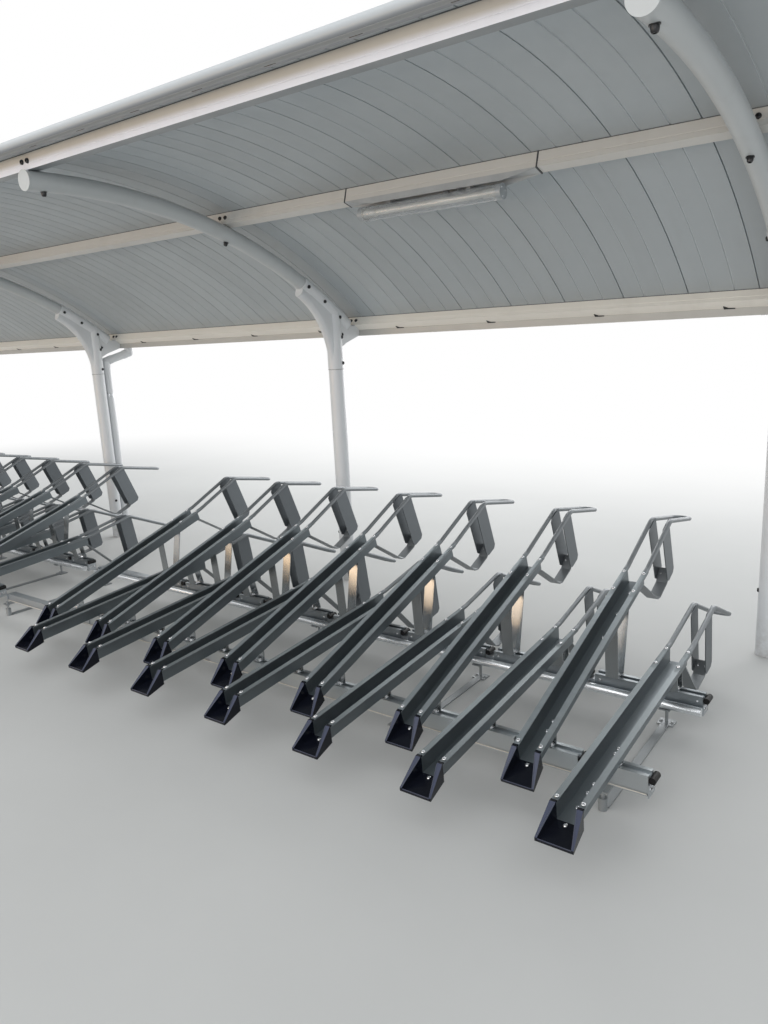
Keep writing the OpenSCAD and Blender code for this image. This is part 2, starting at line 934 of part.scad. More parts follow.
// Height of the underside of a tray at y
function tray_under(y, y0, z0, tilt) = z0 + (y - y0) * tan(tilt) - (tray_h + seat_gap) / cos(tilt);

// V of strip: up from both ends of its foot, to front and rear, with a flange turned in at each top
module vee_leg(y, front, rear, y0, z0, tilt) {
    function under(v) = [v, tray_under(y + v, y0, z0, tilt)];
    translate([-leg_w / 2, y, 0])
        along_x()
            linear_extrude(height = leg_w)
                strip([
                    under(leg_flange - front), under(-front), [-leg_foot, leg_base],
                    [leg_foot, leg_base], under(rear), under(rear - leg_flange)], leg_t);
}

// Bracket of strip: a foot on the carriage, an upright plate, and a flange under the tray
module plate_leg(y, y0, z0, tilt) {
    function under(v) = [v, tray_under(y + v, y0, z0, tilt)];
    translate([-leg_w / 2, y, 0])
        along_x()
            linear_extrude(height = leg_w)
                strip([[-22, leg_base], [12, leg_base], under(12), under(-22)], leg_t);
}

module upper_leg_pair() {
    vee_leg(rear_rail_y, 52, 79, upper_y, upper_z, upper_tilt);
    plate_leg(front_rail_y, upper_y, upper_z, upper_tilt);
}

module lower_leg_pair() {
    vee_leg(rear_rail_y, 46, 12, lower_y, lower_z, lower_tilt);
    plate_leg(front_rail_y, lower_y, lower_z, lower_tilt);
}

// Carriage: folded sheet over its rail, with a trough along its top between two raised edges
trough_half = 11;
trough_depth = 10;

module carriage(y) {
    skirt = rail_z + rail_t + 4;
    floor_z = carriage_top - trough_depth;
    translate([-carriage_left, y, 0])
        along_x()
            linear_extrude(height = carriage_left + carriage_right)
                strip([
                    [-carriage_half, skirt], [-carriage_half, carriage_top], [-trough_half, carriage_top],
                    [-trough_half, floor_z], [trough_half, floor_z], [trough_half, carriage_top],
                    [carriage_half, carriage_top], [carriage_half, skirt]], -carriage_t);
}

// Roller at the right end of a carriage, which also keeps it from the next one
roller_d = 23;
roller_w = 48;

module roller(y) {
    translate([carriage_right + roller_d / 2 + seat_gap, y + roller_w / 2, rail_z + rail_h + roller_d / 2 + seat_gap])
        rotate([90, 0, 0])
            cylinder(d = roller_d, h = roller_w);
}

module rollers() {
    color(black)
        at_each(concat(upper_x, lower_x)) {
            roller(front_rail_y);
            roller(rear_rail_y);
        }
}

module first_rollers() {
    color(black)
        at_each([first_x]) {
            roller(front_rail_y);
            roller(rear_rail_y);
        }
}

// Nose: a black funnel that caps the front of the lips and opens towards the wheel
nose_len = 90;
nose_rim = 7;
nose_ear = 3;
ear_lap = 8;
nose_half_rear = slot_w / 2 + lip_w + tray_t - 1;
nose_half_front = nose_half_rear + 7.5;
nose_deep = tray_h + 4;
nose_low = tray_h + 15;
nose_back = tray_front - seat_gap;
nose_tip = tray_front - nose_len;

// The nose seen from above, from the width at its rear to the width at its front
module nose_plan(rear_half, front_half, reach) {
    polygon([
        [-rear_half, nose_back + reach], [-front_half, nose_tip - reach],
        [front_half, nose_tip - reach], [rear_half, nose_back + reach]]);
}

// The nose seen from the side, with its top at height h
module nose_side(floor_t, reach, h) {
    polygon([
        [nose_back + reach, -nose_deep + floor_t], [nose_back + reach, h],
        [nose_back - 3, h], [nose_tip - reach, h - nose_deep - nose_ear],
        [nose_tip - reach, -nose_low + floor_t]]);
}

module nose_block(rear_half, front_half, floor_t, reach, h) {
    intersection() {
        translate([0, 0, -2 * nose_deep])
            linear_extrude(height = 6 * nose_deep)
                nose_plan(rear_half, front_half, reach);
        translate([-2 * nose_half_front, 0, 0])
            along_x()
                linear_extrude(height = 4 * nose_half_front)
                    nose_side(floor_t, reach, h);
    }
}

module nose() {
    difference() {
        nose_block(nose_half_rear, nose_half_front, 0, 0, nose_ear);
        nose_block(slot_w / 2, nose_half_front - nose_rim, nose_rim, 1, 3 * nose_deep);
    }
    for (side = [-1, 1])
        translate([side > 0 ? slot_w / 2 : -nose_half_rear, nose_back - 2, seat_gap])
            cube([nose_half_rear - slot_w / 2, ear_lap + 2, nose_ear - seat_gap]);
}

module upper_trays() {
    color(rack_grey) at_each(upper_x) as_upper() tray();
}

module upper_hoops() {
    color(rack_grey) at_each(upper_x) as_upper() hoop();
}

module upper_plates() {
    color(rack_grey) at_each(upper_x) as_upper() plates();
}

module upper_cradles() {
    color(rack_grey) at_each(upper_x) as_upper() cradle();
}

module upper_legs() {
    color(rack_grey) at_each(upper_x) upper_leg_pair();
}

module lower_trays() {
    color(rack_grey) at_each(lower_x) as_lower() tray();
}

module lower_hoops() {
    color(rack_grey) at_each(lower_x) as_lower() hoop();
}

module lower_plates() {
    color(rack_grey) at_each(lower_x) as_lower() plates();
}

module lower_cradles() {
    color(rack_grey) at_each(lower_x) as_lower() cradle();
}

module lower_legs() {
    color(rack_grey) at_each(lower_x) lower_leg_pair();
}

module front_carriages() {
    color(zinc) at_each(concat(upper_x, lower_x)) carriage(front_rail_y);
}

module rear_carriages() {
    color(zinc) at_each(concat(upper_x, lower_x)) carriage(rear_rail_y);
}

module upper_noses() {
    color(black) at_each(upper_x) as_upper() nose();
}

module lower_noses() {
    color(black) at_each(lower_x) as_lower() nose();
}

module first_tray() {
    color(rack_grey) at_each([first_x]) as_upper() tray();
}

module first_hoop() {
    color(rack_grey) at_each([first_x]) as_upper() hoop();
}

module first_plates() {
    color(rack_grey) at_each([first_x]) as_upper() plates();
}

module first_cradle() {
    color(rack_grey) at_each([first_x]) as_upper() cradle();
}

module first_legs() {
    color(rack_grey) at_each([first_x]) upper_leg_pair();
}

module first_front_carriage() {
    color(zinc) at_each([first_x]) carriage(front_rail_y);
}

module first_rear_carriage() {
    color(zinc) at_each([first_x]) carriage(rear_rail_y);
}

module first_nose() {
    color(black) at_each([first_x]) as_upper() nose();
}

posts();
knuckles();
arms();
arm_caps();
front_beam();
middle_purlin();
rear_beam();
roof_left();
roof_middle();
roof_right();
front_trim();
rear_gutter();
gutter_ends();
downpipe();
pipe_clips();
light_bracket();
light_body();
light_cover();
front_rails();
rear_rails();
rear_tubes();
rail_feet();
cross_ties();
upper_trays();
upper_hoops();
upper_plates();
upper_cradles();
upper_legs();
lower_trays();
lower_hoops();
lower_plates();
lower_cradles();
lower_legs();
front_carriages();
rear_carriages();
rollers();
upper_noses();
lower_noses();
first_tray();
first_hoop();
first_plates();
first_cradle();
first_legs();
first_front_carriage();
first_rear_carriage();
first_rollers();
first_nose();
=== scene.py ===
import math
import random

import bmesh
import bpy
from mathutils import Matrix, Vector
from mathutils.bvhtree import BVHTree


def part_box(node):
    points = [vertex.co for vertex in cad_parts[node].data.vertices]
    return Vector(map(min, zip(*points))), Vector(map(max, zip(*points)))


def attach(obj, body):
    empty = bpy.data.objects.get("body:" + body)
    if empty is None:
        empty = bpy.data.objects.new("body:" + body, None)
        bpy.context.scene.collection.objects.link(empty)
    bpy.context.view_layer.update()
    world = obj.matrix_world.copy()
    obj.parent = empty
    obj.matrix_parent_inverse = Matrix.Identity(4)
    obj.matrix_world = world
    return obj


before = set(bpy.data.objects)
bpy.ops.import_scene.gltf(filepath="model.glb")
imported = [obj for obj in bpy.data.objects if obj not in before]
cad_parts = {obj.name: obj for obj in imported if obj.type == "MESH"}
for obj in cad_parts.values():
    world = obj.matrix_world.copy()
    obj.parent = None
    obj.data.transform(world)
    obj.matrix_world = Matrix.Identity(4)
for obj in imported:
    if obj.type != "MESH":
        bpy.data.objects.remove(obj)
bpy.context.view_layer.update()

# ---- measures, in metres, as in the CAD source

POSTS = [-4.82, -2.41, 0.0, 2.41]
PIPE_POST = POSTS[1]
SEAM_Z = 1.300  # where a knuckle's socket meets its post
SEAT_GAP = 0.0003  # between a piece and what it sits on

ROOF_X = (-5.573125, 3.163125)
PANELS = 29
PANEL_W = (ROOF_X[1] - ROOF_X[0]) / PANELS
CURVE = Vector((0, -1.670, -0.850))  # middle of the arc that the arms and the roof follow
FLAT_R, SEAT_R, ARM_R = 3.092, 3.029, 2.990  # to the roof's flats, the purlins' foot and the arms' middle
PURLIN_W = 0.050
PURLIN_FRONT_Y = {"front_beam": -1.800, "middle_purlin": -0.806, "rear_beam": 0.174}
TRIM_R = 0.021
LIGHT_X, LIGHT_LEN = 0.779, 0.910
COVER_X, COVER_LEN = 0.885, 0.640

RAIL_ENDS = [2.360, -1.510]  # right end of each group's rails
RAIL_LEN, RAIL_Z = 3.750, 0.072
FRONT_RAIL_Y, REAR_RAIL_Y = -1.440, -0.830
FEET = [[0.130, 0.930, 1.865, 2.800, 3.700], [0.340, 1.140, 1.940, 2.740, 3.540]]  # from the rails' right end
CARRIAGE_X, CARRIAGE_HALF, CARRIAGE_TOP = (-0.070, 0.113), 0.0255, 0.138

PITCH, PAIRS, END_TO_LOWER = 0.450, 7, 0.115
UPPER = {"y": -1.580, "z": 0.201, "tilt": math.radians(17.6)}
LOWER = {"y": -1.789, "z": 0.195, "tilt": math.radians(4.6)}
TRAY_H, TRAY_T = 0.057, 0.003
BAR_X, BAR_D = 0.040, 0.019


def all_racks():
    """(x, kind, body) of every rack: the leftmost upper rack of the right group rides on its own body."""
    rows = []
    for group, end in enumerate(RAIL_ENDS):
        for i in range(PAIRS):
            lower_x = end - END_TO_LOWER - i * PITCH
            slides = group == 0 and i == PAIRS - 1
            rows.append((lower_x, LOWER, "shelter"))
            rows.append((lower_x - PITCH / 2, UPPER, "first_rack" if slides else "shelter"))
    return rows


RACKS = all_racks()


def rack_matrix(x, kind):
    """From a rack's own frame (x across, s along the tray, t square to it) to the part's frame."""
    return Matrix.Translation((x, kind["y"], kind["z"])) @ Matrix.Rotation(kind["tilt"], 4, "X")


# ---- shapes: (points, faces) in mesh code

def ring(radius, z, steps):
    """Points of a circle round Z."""
    turns = [math.tau * i / steps for i in range(steps)]
    return [Vector((radius * math.cos(a), radius * math.sin(a), z)) for a in turns]


def skin(rings):
    """Closed surface over rings of equally many points."""
    steps = len(rings[0])
    points = [p for row in rings for p in row]
    faces = [(k * steps + i, k * steps + (i + 1) % steps, (k + 1) * steps + (i + 1) % steps, (k + 1) * steps + i)
             for k in range(len(rings) - 1) for i in range(steps)]
    last = len(points) - steps
    return points, faces + [tuple(reversed(range(steps))), tuple(range(last, last + steps))]


def lathe(profile, steps):
    """Turns (radius, height) pairs round Z, with a flat face at each end."""
    return skin([ring(r, z, steps) for r, z in profile])


def prism(outline, height):
    """Outline of (x, y) points, raised along Z."""
    return skin([[Vector((x, y, z)) for x, y in outline] for z in (0, height)])


def loft(sections, steps=14):
    """Skin over ovals that follow Y, each (y, z of the centre, half width, half height)."""
    turns = [math.tau * i / steps for i in range(steps)]
    return skin([[Vector((wide * math.cos(a), y, z + high * math.sin(a))) for a in turns]
                 for y, z, wide, high in sections])


def slab(low, high, edge=0.0008):
    """Box between two corners whose vertical edges are cut off by a small amount."""
    (x0, y0, z0), (x1, y1, z1) = low, high
    outline = [(x0 + edge, y0), (x1 - edge, y0), (x1, y0 + edge), (x1, y1 - edge),
               (x1 - edge, y1), (x0 + edge, y1), (x0, y1 - edge), (x0, y0 + edge)]
    return placed(prism(outline, z1 - z0), Matrix.Translation((0, 0, z0)))


def sweep(path, radii, steps):
    """Tube of changing radius along a path."""
    rings = []
    for k, p in enumerate(path):
        way = (path[min(k + 1, len(path) - 1)] - path[max(k - 1, 0)]).normalized()
        turn = Vector((0, 0, 1)).rotation_difference(way).to_matrix()
        rings.append([p + turn @ v for v in ring(radii[k], 0, steps)])
    return skin(rings)


def placed(shape, matrix):
    """The shape, moved by a matrix."""
    return [matrix @ p for p in shape[0]], shape[1]


def shifted(shape, x, y, z):
    """The shape, moved without a turn."""
    return placed(shape, Matrix.Translation((x, y, z)))


def joined(shapes):
    """One shape out of several."""
    points, faces = [], []
    for more_points, more_faces in shapes:
        start = len(points)
        points += more_points
        faces += [tuple(start + i for i in f) for f in more_faces]
    return points, faces


def facing(at, way):
    """Places a shape at a point with its Z along a direction."""
    turn = Vector((0, 0, 1)).rotation_difference(Vector(way).normalized()).to_matrix().to_4x4()
    return Matrix.Translation(at) @ turn


def outward(angle):
    """Direction square to X, at an angle up from +Y."""
    return Vector((0, math.cos(angle), math.sin(angle)))


def make(name, shapes, material, body, smooth=40):
    """One visible piece out of the shapes, smooth but for edges that turn more than an angle in degrees."""
    points, faces = joined(shapes)
    mesh = bpy.data.meshes.new(name)
    mesh.from_pydata([tuple(p) for p in points], [], faces)
    mesh.validate()
    work = bmesh.new()
    work.from_mesh(mesh)
    bmesh.ops.recalc_face_normals(work, faces=work.faces)
    work.to_mesh(mesh)
    work.free()
    mesh.shade_smooth()
    mesh.set_sharp_from_angle(angle=math.radians(smooth))
    piece = bpy.data.objects.new(name, mesh)
    piece.data.materials.append(material)
    bpy.context.scene.collection.objects.link(piece)
    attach(piece, body)


# ---- fixings, each with its seat at z = 0

# Radius, or a hexagon's width across its flats, and height.
TRAY_RIVET, CRADLE_RIVET, CARRIAGE_RIVET = (0.0070, 0.0034), (0.0050, 0.0024), (0.0048, 0.0022)
GUTTER_RIVET, LIGHT_SCREW, PIPE_SCREW = (0.0035, 0.0016), (0.0040, 0.0026), (0.0038, 0.0026)
LEG_BOLT, END_BOLT, FOOT_BOLT, ROOF_SCREW = (0.013, 0.0055), (0.010, 0.004), (0.009, 0.004), (0.008, 0.0036)
KNUCKLE_BOLT, BEAM_BOLT, POST_BOLT = (0.0100, 0.0075), (0.0100, 0.0075), (0.0095, 0.0060)
ARM_BOLT, ARM_WASHER, ROOF_WASHER = (0.0105, 0.016), (0.0135, 0.0015), (0.0085, 0.0018)
ON_WASHER = 0.001  # a head's height over the foot of its washer


def rivet(r, h):
    """Blind rivet: a low dome with the pulled stem's hole in its middle."""
    return lathe([(r, -0.001), (r, h * 0.25), (r * 0.86, h * 0.7), (r * 0.58, h), (r * 0.36, h),
                  (r * 0.30, h * 0.55), (r * 0.05, h * 0.5)], 18)


def washer(r, h):
    """Flat washer with a rounded rim."""
    return lathe([(r, -0.001), (r, h * 0.75), (r * 0.96, h), (r * 0.3, h)], 24)


def hex_bolt(across, head, spin=0.0):
    """Hexagon head with a turned chamfer, on a washer."""
    r = across / math.sqrt(3)
    washer_t = 0.0016
    shape = lathe([(r, 0), (r, head * 0.8), (r * 0.9, head), (r * 0.1, head * 1.02)], 6)
    lift = Matrix.Translation((0, 0, washer_t)) @ Matrix.Rotation(spin, 4, "Z")
    return joined([washer(across * 0.85, washer_t), placed(shape, lift)])


def capped_bolt(r, h):
    """Round black head with a hollow for the key."""
    return lathe([(r, -0.001), (r, h * 0.35), (r * 0.9, h * 0.75), (r * 0.66, h), (r * 0.46, h),
                  (r * 0.42, h * 0.4), (r * 0.05, h * 0.38)], 22)


def pan_screw(r, h):
    """Small screw with a domed head."""
    return lathe([(r, -0.0008), (r, h * 0.3), (r * 0.8, h * 0.8), (r * 0.4, h), (r * 0.05, h)], 14)


def thread(r, z0, z1, pitch=0.00175):
    """Threaded rod: crests and roots along its length."""
    profile = [(r * 0.82, z0)]
    for i in range(int((z1 - z0) / pitch)):
        z = z0 + i * pitch
        profile += [(r * 0.86, z + pitch * 0.1), (r, z + pitch * 0.45), (r, z + pitch * 0.6),
                    (r * 0.86, z + pitch * 0.95)]
    profile += [(r * 0.8, z1), (r * 0.2, z1 + 0.0008)]
    return lathe(profile, 14)


def weld(path, r, rng, drop=0.0022):
    """Lumpy bead along a path, as a row of overlapping drops."""
    fine, radii = [], []
    for a, b in zip(path, path[1:]):
        count = max(2, int((b - a).length / drop))
        for i in range(count):
            fine.append(a.lerp(b, i / count))
            radii.append(r * (0.8 + 0.28 * abs(math.sin(i * 1.2)) + 0.08 * rng.random()))
    fine.append(path[-1])
    radii.append(r * 0.5)
    radii[0] = r * 0.5
    return sweep(fine, radii, 7)


# ---- finding the surface of a CAD piece

RAY_OFF = 0.2  # how far off a surface a ray starts


def tree_of(name):
    """A CAD node's mesh, ready for rays."""
    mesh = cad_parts[name].data
    return BVHTree.FromPolygons([v.co.copy() for v in mesh.vertices], [tuple(p.vertices) for p in mesh.polygons])


def on_surface(tree, start, way):
    """Where a ray first meets a CAD piece, and which way its surface looks there. None if the ray misses."""
    at, normal, _, _ = tree.ray_cast(Vector(start), Vector(way))
    if at is None:
        return None
    if normal.dot(Vector(way)) > 0:
        normal = -normal
    return at, normal


def set_on(shape, tree, start, way):
    """The shape, set square on a CAD piece where a ray first meets it: a list, empty if the ray misses."""
    hit = on_surface(tree, start, way)
    return [placed(shape, facing(*hit))] if hit else []


def set_on_racks(shape, racks, nodes, spots):
    """The shape, set on every rack's node under each spot of the rack's own frame. Nodes are (name, kind)."""
    shapes = []
    for node, kind_of in nodes:
        tree = tree_of(node)
        for x, kind in racks:
            if kind is kind_of:
                to_part = rack_matrix(x, kind)
                down = to_part.to_3x3() @ Vector((0, 0, -1))
                for spot in spots:
                    shapes += set_on(shape, tree, to_part @ Vector(spot), down)
    return shapes


def arc_angle(radius, y):
    """Angle up from +Y of the point of an arc round CURVE that is at y."""
    return math.acos((y - CURVE.y) / radius)


def purlin_seat(y):
    """The frame at the middle of a purlin's foot: X along it, Y out of its front face, Z towards the roof."""
    angle = arc_angle(SEAT_R, y) - math.asin(PURLIN_W / 2 / SEAT_R)
    out = outward(angle)
    front = Vector((0, -math.sin(angle), math.cos(angle)))
    turn = Matrix((Vector((1, 0, 0)), front, out)).transposed().to_4x4()
    return Matrix.Translation(CURVE + out * SEAT_R) @ turn


# ---- materials

def linear(r, g, b):
    """Linear colour of an sRGB colour in steps of 255."""
    def one(v):
        v /= 255
        return v / 12.92 if v <= 0.04045 else ((v + 0.055) / 1.055) ** 2.4
    return (one(r), one(g), one(b), 1.0)


def scaled(colour, k):
    """The colour, k times as bright."""
    return (colour[0] * k, colour[1] * k, colour[2] * k, 1.0)


class Finish:
    """A material under way: its shader, and short ways to add the nodes that feed it."""

    def __init__(self, name, **values):
        self.material = bpy.data.materials.new(name)
        self.material.use_nodes = True
        self.tree = self.material.node_tree
        self.shader = self.tree.nodes["Principled BSDF"]
        self.place = self.add("TexCoord").outputs["Object"]
        for key, value in values.items():
            self.shader.inputs[key.replace("_", " ")].default_value = value

    def add(self, kind, inputs=None, **properties):
        made = self.tree.nodes.new("ShaderNode" + kind)
        for key, value in properties.items():
            setattr(made, key, value)
        for key, value in (inputs or {}).items():
            if isinstance(value, bpy.types.NodeSocket):
                self.tree.links.new(value, made.inputs[key])
            else:
                made.inputs[key].default_value = value
        return made

    def axis(self, index, place=None):
        """One coordinate of a place or direction."""
        return self.add("SeparateXYZ", {0: place or self.place}).outputs[index]

    def stretched(self, x, y, z, place=None):
        """Coordinates multiplied along each axis."""
        return self.add("VectorMath", {0: place or self.place, 1: (x, y, z)}, operation="MULTIPLY").outputs[0]

    def rack_place(self, kind):
        """Coordinates turned and moved to a rack's own frame, apart from its place along the rails."""
        moved = self.add("VectorMath", {0: self.place, 1: (0, -kind["y"], -kind["z"])}, operation="ADD").outputs[0]
        turned = self.add("VectorRotate", {"Vector": moved, "Angle": -kind["tilt"]}, rotation_type="X_AXIS")
        return turned.outputs[0]

    def noise(self, scale, detail=3, rough=0.55, place=None):
        return self.add("TexNoise", {"Vector": place or self.place, "Scale": scale, "Detail": detail,
                                     "Roughness": rough}).outputs["Fac"]

    def spread(self, value, low, high, to_low=0.0, to_high=1.0):
        """The value, whose range from low to high becomes to_low to to_high."""
        return self.add("MapRange", {"Value": value, "From Min": low, "From Max": high,
                                     "To Min": to_low, "To Max": to_high}).outputs["Result"]

    def drift(self, scale, detail=3, low=0.0, high=1.0):
        """Noise whose usual range becomes low to high."""
        return self.spread(self.noise(scale, detail), 0.3, 0.7, low, high)

    def cells(self, scale):
        """A different grey for each crystal-like cell."""
        voronoi = self.add("TexVoronoi", {"Vector": self.place, "Scale": scale, "Randomness": 1.0})
        return self.add("SeparateColor", {0: voronoi.outputs["Color"]}).outputs[0]

    def random_of(self, value):
        """A random number from 0 to 1 for each whole step of a value."""
        step = self.math("FLOOR", value)
        return self.add("TexWhiteNoise", {"W": step}, noise_dimensions="1D").outputs["Value"]

    def math(self, kind, a, b=0.0):
        return self.add("Math", {0: a, 1: b}, operation=kind).outputs[0]

    def times(self, a, b):
        return self.math("MULTIPLY", a, b)

    def plus(self, a, b):
        return self.math("ADD", a, b)

    def away(self, value, middle):
        """How far a value is from a middle, on either side."""
        return self.math("ABSOLUTE", self.math("SUBTRACT", value, middle))

    def mix(self, share, a, b, kind="MIX"):
        return self.add("Mix", {0: share, 6: a, 7: b}, data_type="RGBA", blend_type=kind).outputs[2]

    def bump(self, height, distance, strength=1.0, under=None):
        inputs = {"Height": height, "Distance": distance, "Strength": strength}
        if under is not None:
            inputs["Normal"] = under
        return self.add("Bump", inputs).outputs["Normal"]

    def done(self, tone, gloss=None, relief=None):
        """Feeds colour, roughness and bump to the shader, and gives the finished material."""
        for key, value in (("Base Color", tone), ("Roughness", gloss), ("Normal", relief)):
            if value is not None:
                self.tree.links.new(value, self.shader.inputs[key])
        return self.material


GRIME = linear(118, 108, 94)
SPLASH_Z = 0.26  # how high rain splashes dust from the ground


def rain_runs(f):
    """Share of dirt in faint upright runs."""
    return f.spread(f.noise(7.0, 5, 0.6, f.stretched(1.0, 1.0, 0.12)), 0.56, 0.78, 0.0, 0.10)


def orange_peel(f):
    """Fine relief of powder coat."""
    return f.bump(f.noise(420, 2, 0.5), 0.00025, 0.35)


def painted(name, colour, rough=0.34, ground_dust=0.0, foot=None):
    """Powder coat: orange peel, faint tone drift, a little dirt, dust splashed near the ground, and on the roof's
    bead a darker foot, given as (lowest z, highest z, colour): painted shade for the shade under the bead's curve."""
    f = Finish(name, IOR=1.5, Coat_Weight=0.15, Coat_Roughness=0.25)
    tone = f.mix(f.drift(1.3, 4), scaled(colour, 0.955), colour)
    tone = f.mix(rain_runs(f), tone, GRIME)
    specks = f.spread(f.noise(230, 2), 0.70, 0.78, 0.0, 0.25)
    tone = f.mix(specks, tone, scaled(colour, 0.72))
    # Painted shade: darker towards the bead's foot, for the shade under its curve.
    if foot:
        low, high, dull = foot
        tone = f.mix(f.spread(f.axis(2), low, high, 1.0, 0.0), tone, dull)
    if ground_dust:
        height = f.spread(f.axis(2), 0.0, SPLASH_Z, 1.0, 0.0)
        cloud = f.spread(f.noise(26, 6, 0.65), 0.35, 0.75)
        tone = f.mix(f.times(f.times(height, cloud), ground_dust), tone, GRIME)
    return f.done(tone, f.drift(9, 4, rough - 0.05, rough + 0.08), orange_peel(f))


def beam_paint_with_painted_shade(name, colour, upper, under):
    """Paint on the front beam's folded section, with painted shade: darker and warmer in its upper half, for the
    shade under the roof's bead, and grey on the faces that look down, for the shade under the section."""
    f = Finish(name, IOR=1.5, Coat_Weight=0.10, Coat_Roughness=0.25)
    tone = f.mix(f.drift(1.3, 4), scaled(colour, 0.96), colour)
    out_y = f.math("POWER", f.math("SUBTRACT", f.axis(1), CURVE.y), 2.0)
    out_z = f.math("POWER", f.math("SUBTRACT", f.axis(2), CURVE.z), 2.0)
    out = f.math("SQRT", f.plus(out_y, out_z))
    # Painted shade: the upper half of the section, under the bead, darker.
    tone = f.mix(f.spread(out, SEAT_R + 0.020, SEAT_R + 0.036), tone, upper)
    tone = f.mix(rain_runs(f), tone, GRIME)
    # Painted shade: faces that look down turn grey.
    down = f.times(f.axis(2, f.add("NewGeometry").outputs["True Normal"]), -1.0)
    tone = f.mix(f.spread(down, 0.70, 0.80), tone, under)
    return f.done(tone, f.drift(9, 4, 0.34, 0.46), orange_peel(f))


def roof_sheet():
    """Coated roofing: each panel its own slight tone, stiffening grooves at its thirds made paler as painted light
    against the shade in them, long faint waves, and dry run marks along the curve."""
    f = Finish("coated_sheet", IOR=1.48, Coat_Weight=0.08, Coat_Roughness=0.35)
    thirds = f.math("DIVIDE", f.math("SUBTRACT", f.axis(0), ROOF_X[0]), PANEL_W / 3)
    of_third = f.spread(f.random_of(thirds), 0, 1, -0.012, 0.012)
    of_panel = f.spread(f.random_of(f.math("DIVIDE", thirds, 3.0)), 0, 1, 0.93, 1.03)
    shade = f.plus(of_panel, of_third)
    grey = f.add("CombineColor", {0: shade, 1: shade, 2: shade}).outputs[0]
    tone = f.mix(1.0, linear(174, 181, 185), grey, "MULTIPLY")
    nearest = f.math("ROUND", thirds)
    in_groove = f.math("LESS_THAN", f.away(thirds, nearest), 0.028)
    within_panel = f.math("FRACT", f.plus(f.math("DIVIDE", nearest, 3.0), 0.1))
    stiffener = f.times(in_groove, f.math("GREATER_THAN", within_panel, 0.2))
    # Painted light: the stiffening grooves are lightened to offset the shade that falls in them.
    tone = f.mix(f.times(stiffener, 0.60), tone, linear(216, 220, 222))
    marks = f.spread(f.noise(9.0, 5, 0.6, f.stretched(1.0, 0.10, 0.10)), 0.50, 0.80, 0.0, 0.10)
    tone = f.mix(marks, tone, linear(120, 121, 120))
    dust = f.spread(f.noise(3.2, 5), 0.45, 0.8, 0.0, 0.10)
    tone = f.mix(dust, tone, linear(186, 188, 188))
    waves = f.noise(1.0, 2, 0.5, f.stretched(9.0, 1.6, 1.6))
    grain = f.bump(f.noise(600, 2), 0.00015, 0.3)
    return f.done(tone, f.drift(14, 4, 0.42, 0.55), f.bump(waves, 0.006, 0.35, grain))


def galvanised(name, colour, rough, cell, metal=0.85):
    """Hot-dip zinc: crystals of differing grey, dull oxide clouds, fine scratches, and dust near the ground."""
    f = Finish(name, Metallic=metal)
    crystal = f.cells(cell)
    tone = f.mix(f.spread(crystal, 0, 1), scaled(colour, 0.88), scaled(colour, 1.08))
    oxide = f.spread(f.noise(7, 5, 0.55), 0.46, 0.78, 0.0, 0.40)
    tone = f.mix(oxide, tone, scaled(colour, 0.90))
    low = f.spread(f.axis(2), 0.0, 0.08, 0.10, 0.0)
    tone = f.mix(f.times(low, f.spread(f.noise(18, 4, 0.5), 0.35, 0.7)), tone, GRIME)
    gloss = f.plus(f.spread(crystal, 0, 1, rough - 0.05, rough + 0.05), f.times(oxide, 0.22))
    scratch = f.noise(1.0, 3, 0.5, f.stretched(14, 420, 420))
    return f.done(tone, gloss, f.bump(scratch, 0.00006, 0.25, f.bump(crystal, 0.00005, 0.2)))


LIP_FACE_T = -0.0035  # a tray's lips are above this, in its own frame
LIP_FADE_S = (0.985, 1.030)  # where the painted light on the lips ends along the hoop's bars
FAINT_LINES = 0.015  # rolling lines fainter than this have no relief


def strip_steel(name, colour, along="y", rough=0.34, metal=0.85, lines_share=0.03, bloom_share=0.22,
                kind=None, lip=None):
    """Coated steel strip: faint rolling lines along the piece and a worn dull bloom. On a rack's parts the upper
    face of the tray's lips gets a paler tone, painted light for the light it catches, which fades out along the
    hoop's bars."""
    f = Finish(name, Metallic=metal)
    place = f.rack_place(kind) if kind else f.place
    fine = {"x": (2.5, 300, 300), "y": (300, 2.5, 300), "z": (300, 300, 2.5)}[along]
    lines = f.noise(1.0, 3, 0.5, f.stretched(*fine, place))
    tone = f.mix(f.spread(lines, 0.3, 0.7), scaled(colour, 1 - lines_share), scaled(colour, 1 + lines_share))
    bloom = f.spread(f.noise(3.2, 5, 0.55, f.stretched(1.0, 0.4, 1.0, place)), 0.45, 0.8, 0.0, bloom_share)
    tone = f.mix(bloom, tone, scaled(colour, 1.22))
    tone = f.mix(f.spread(f.noise(160, 3, 0.6), 0.62, 0.80, 0.0, 0.10), tone, GRIME)
    gloss = f.spread(lines, 0.3, 0.7, rough - lines_share / 2, rough + lines_share)
    gloss = f.plus(gloss, f.times(bloom, 0.25))
    # Painted light: the lips' upper face paler, as lit from above.
    if lip:
        upper_face = f.math("GREATER_THAN", f.axis(2, place), LIP_FACE_T)
        fade = f.spread(f.axis(1, place), *LIP_FADE_S, 1.0, 0.0)
        painted_lit_top = f.times(f.times(upper_face, fade), f.drift(30, 4, 0.80, 1.0))
        tone = f.mix(painted_lit_top, tone, lip)
        gloss = f.plus(gloss, f.times(painted_lit_top, 0.10))
    if lines_share <= FAINT_LINES:
        return f.done(tone, gloss)
    soft = f.bump(f.noise(12, 2), 0.0010, 0.05)
    return f.done(tone, gloss, f.bump(lines, 0.00003, lines_share * 4, soft))


def rail_strip(name, colour, rough, metal, bloom_share=0.10):
    """Strip steel that was rolled along the rails and is too smooth for the lines to stand out."""
    return strip_steel(name, colour, "x", rough, metal, lines_share=0.01, bloom_share=bloom_share)


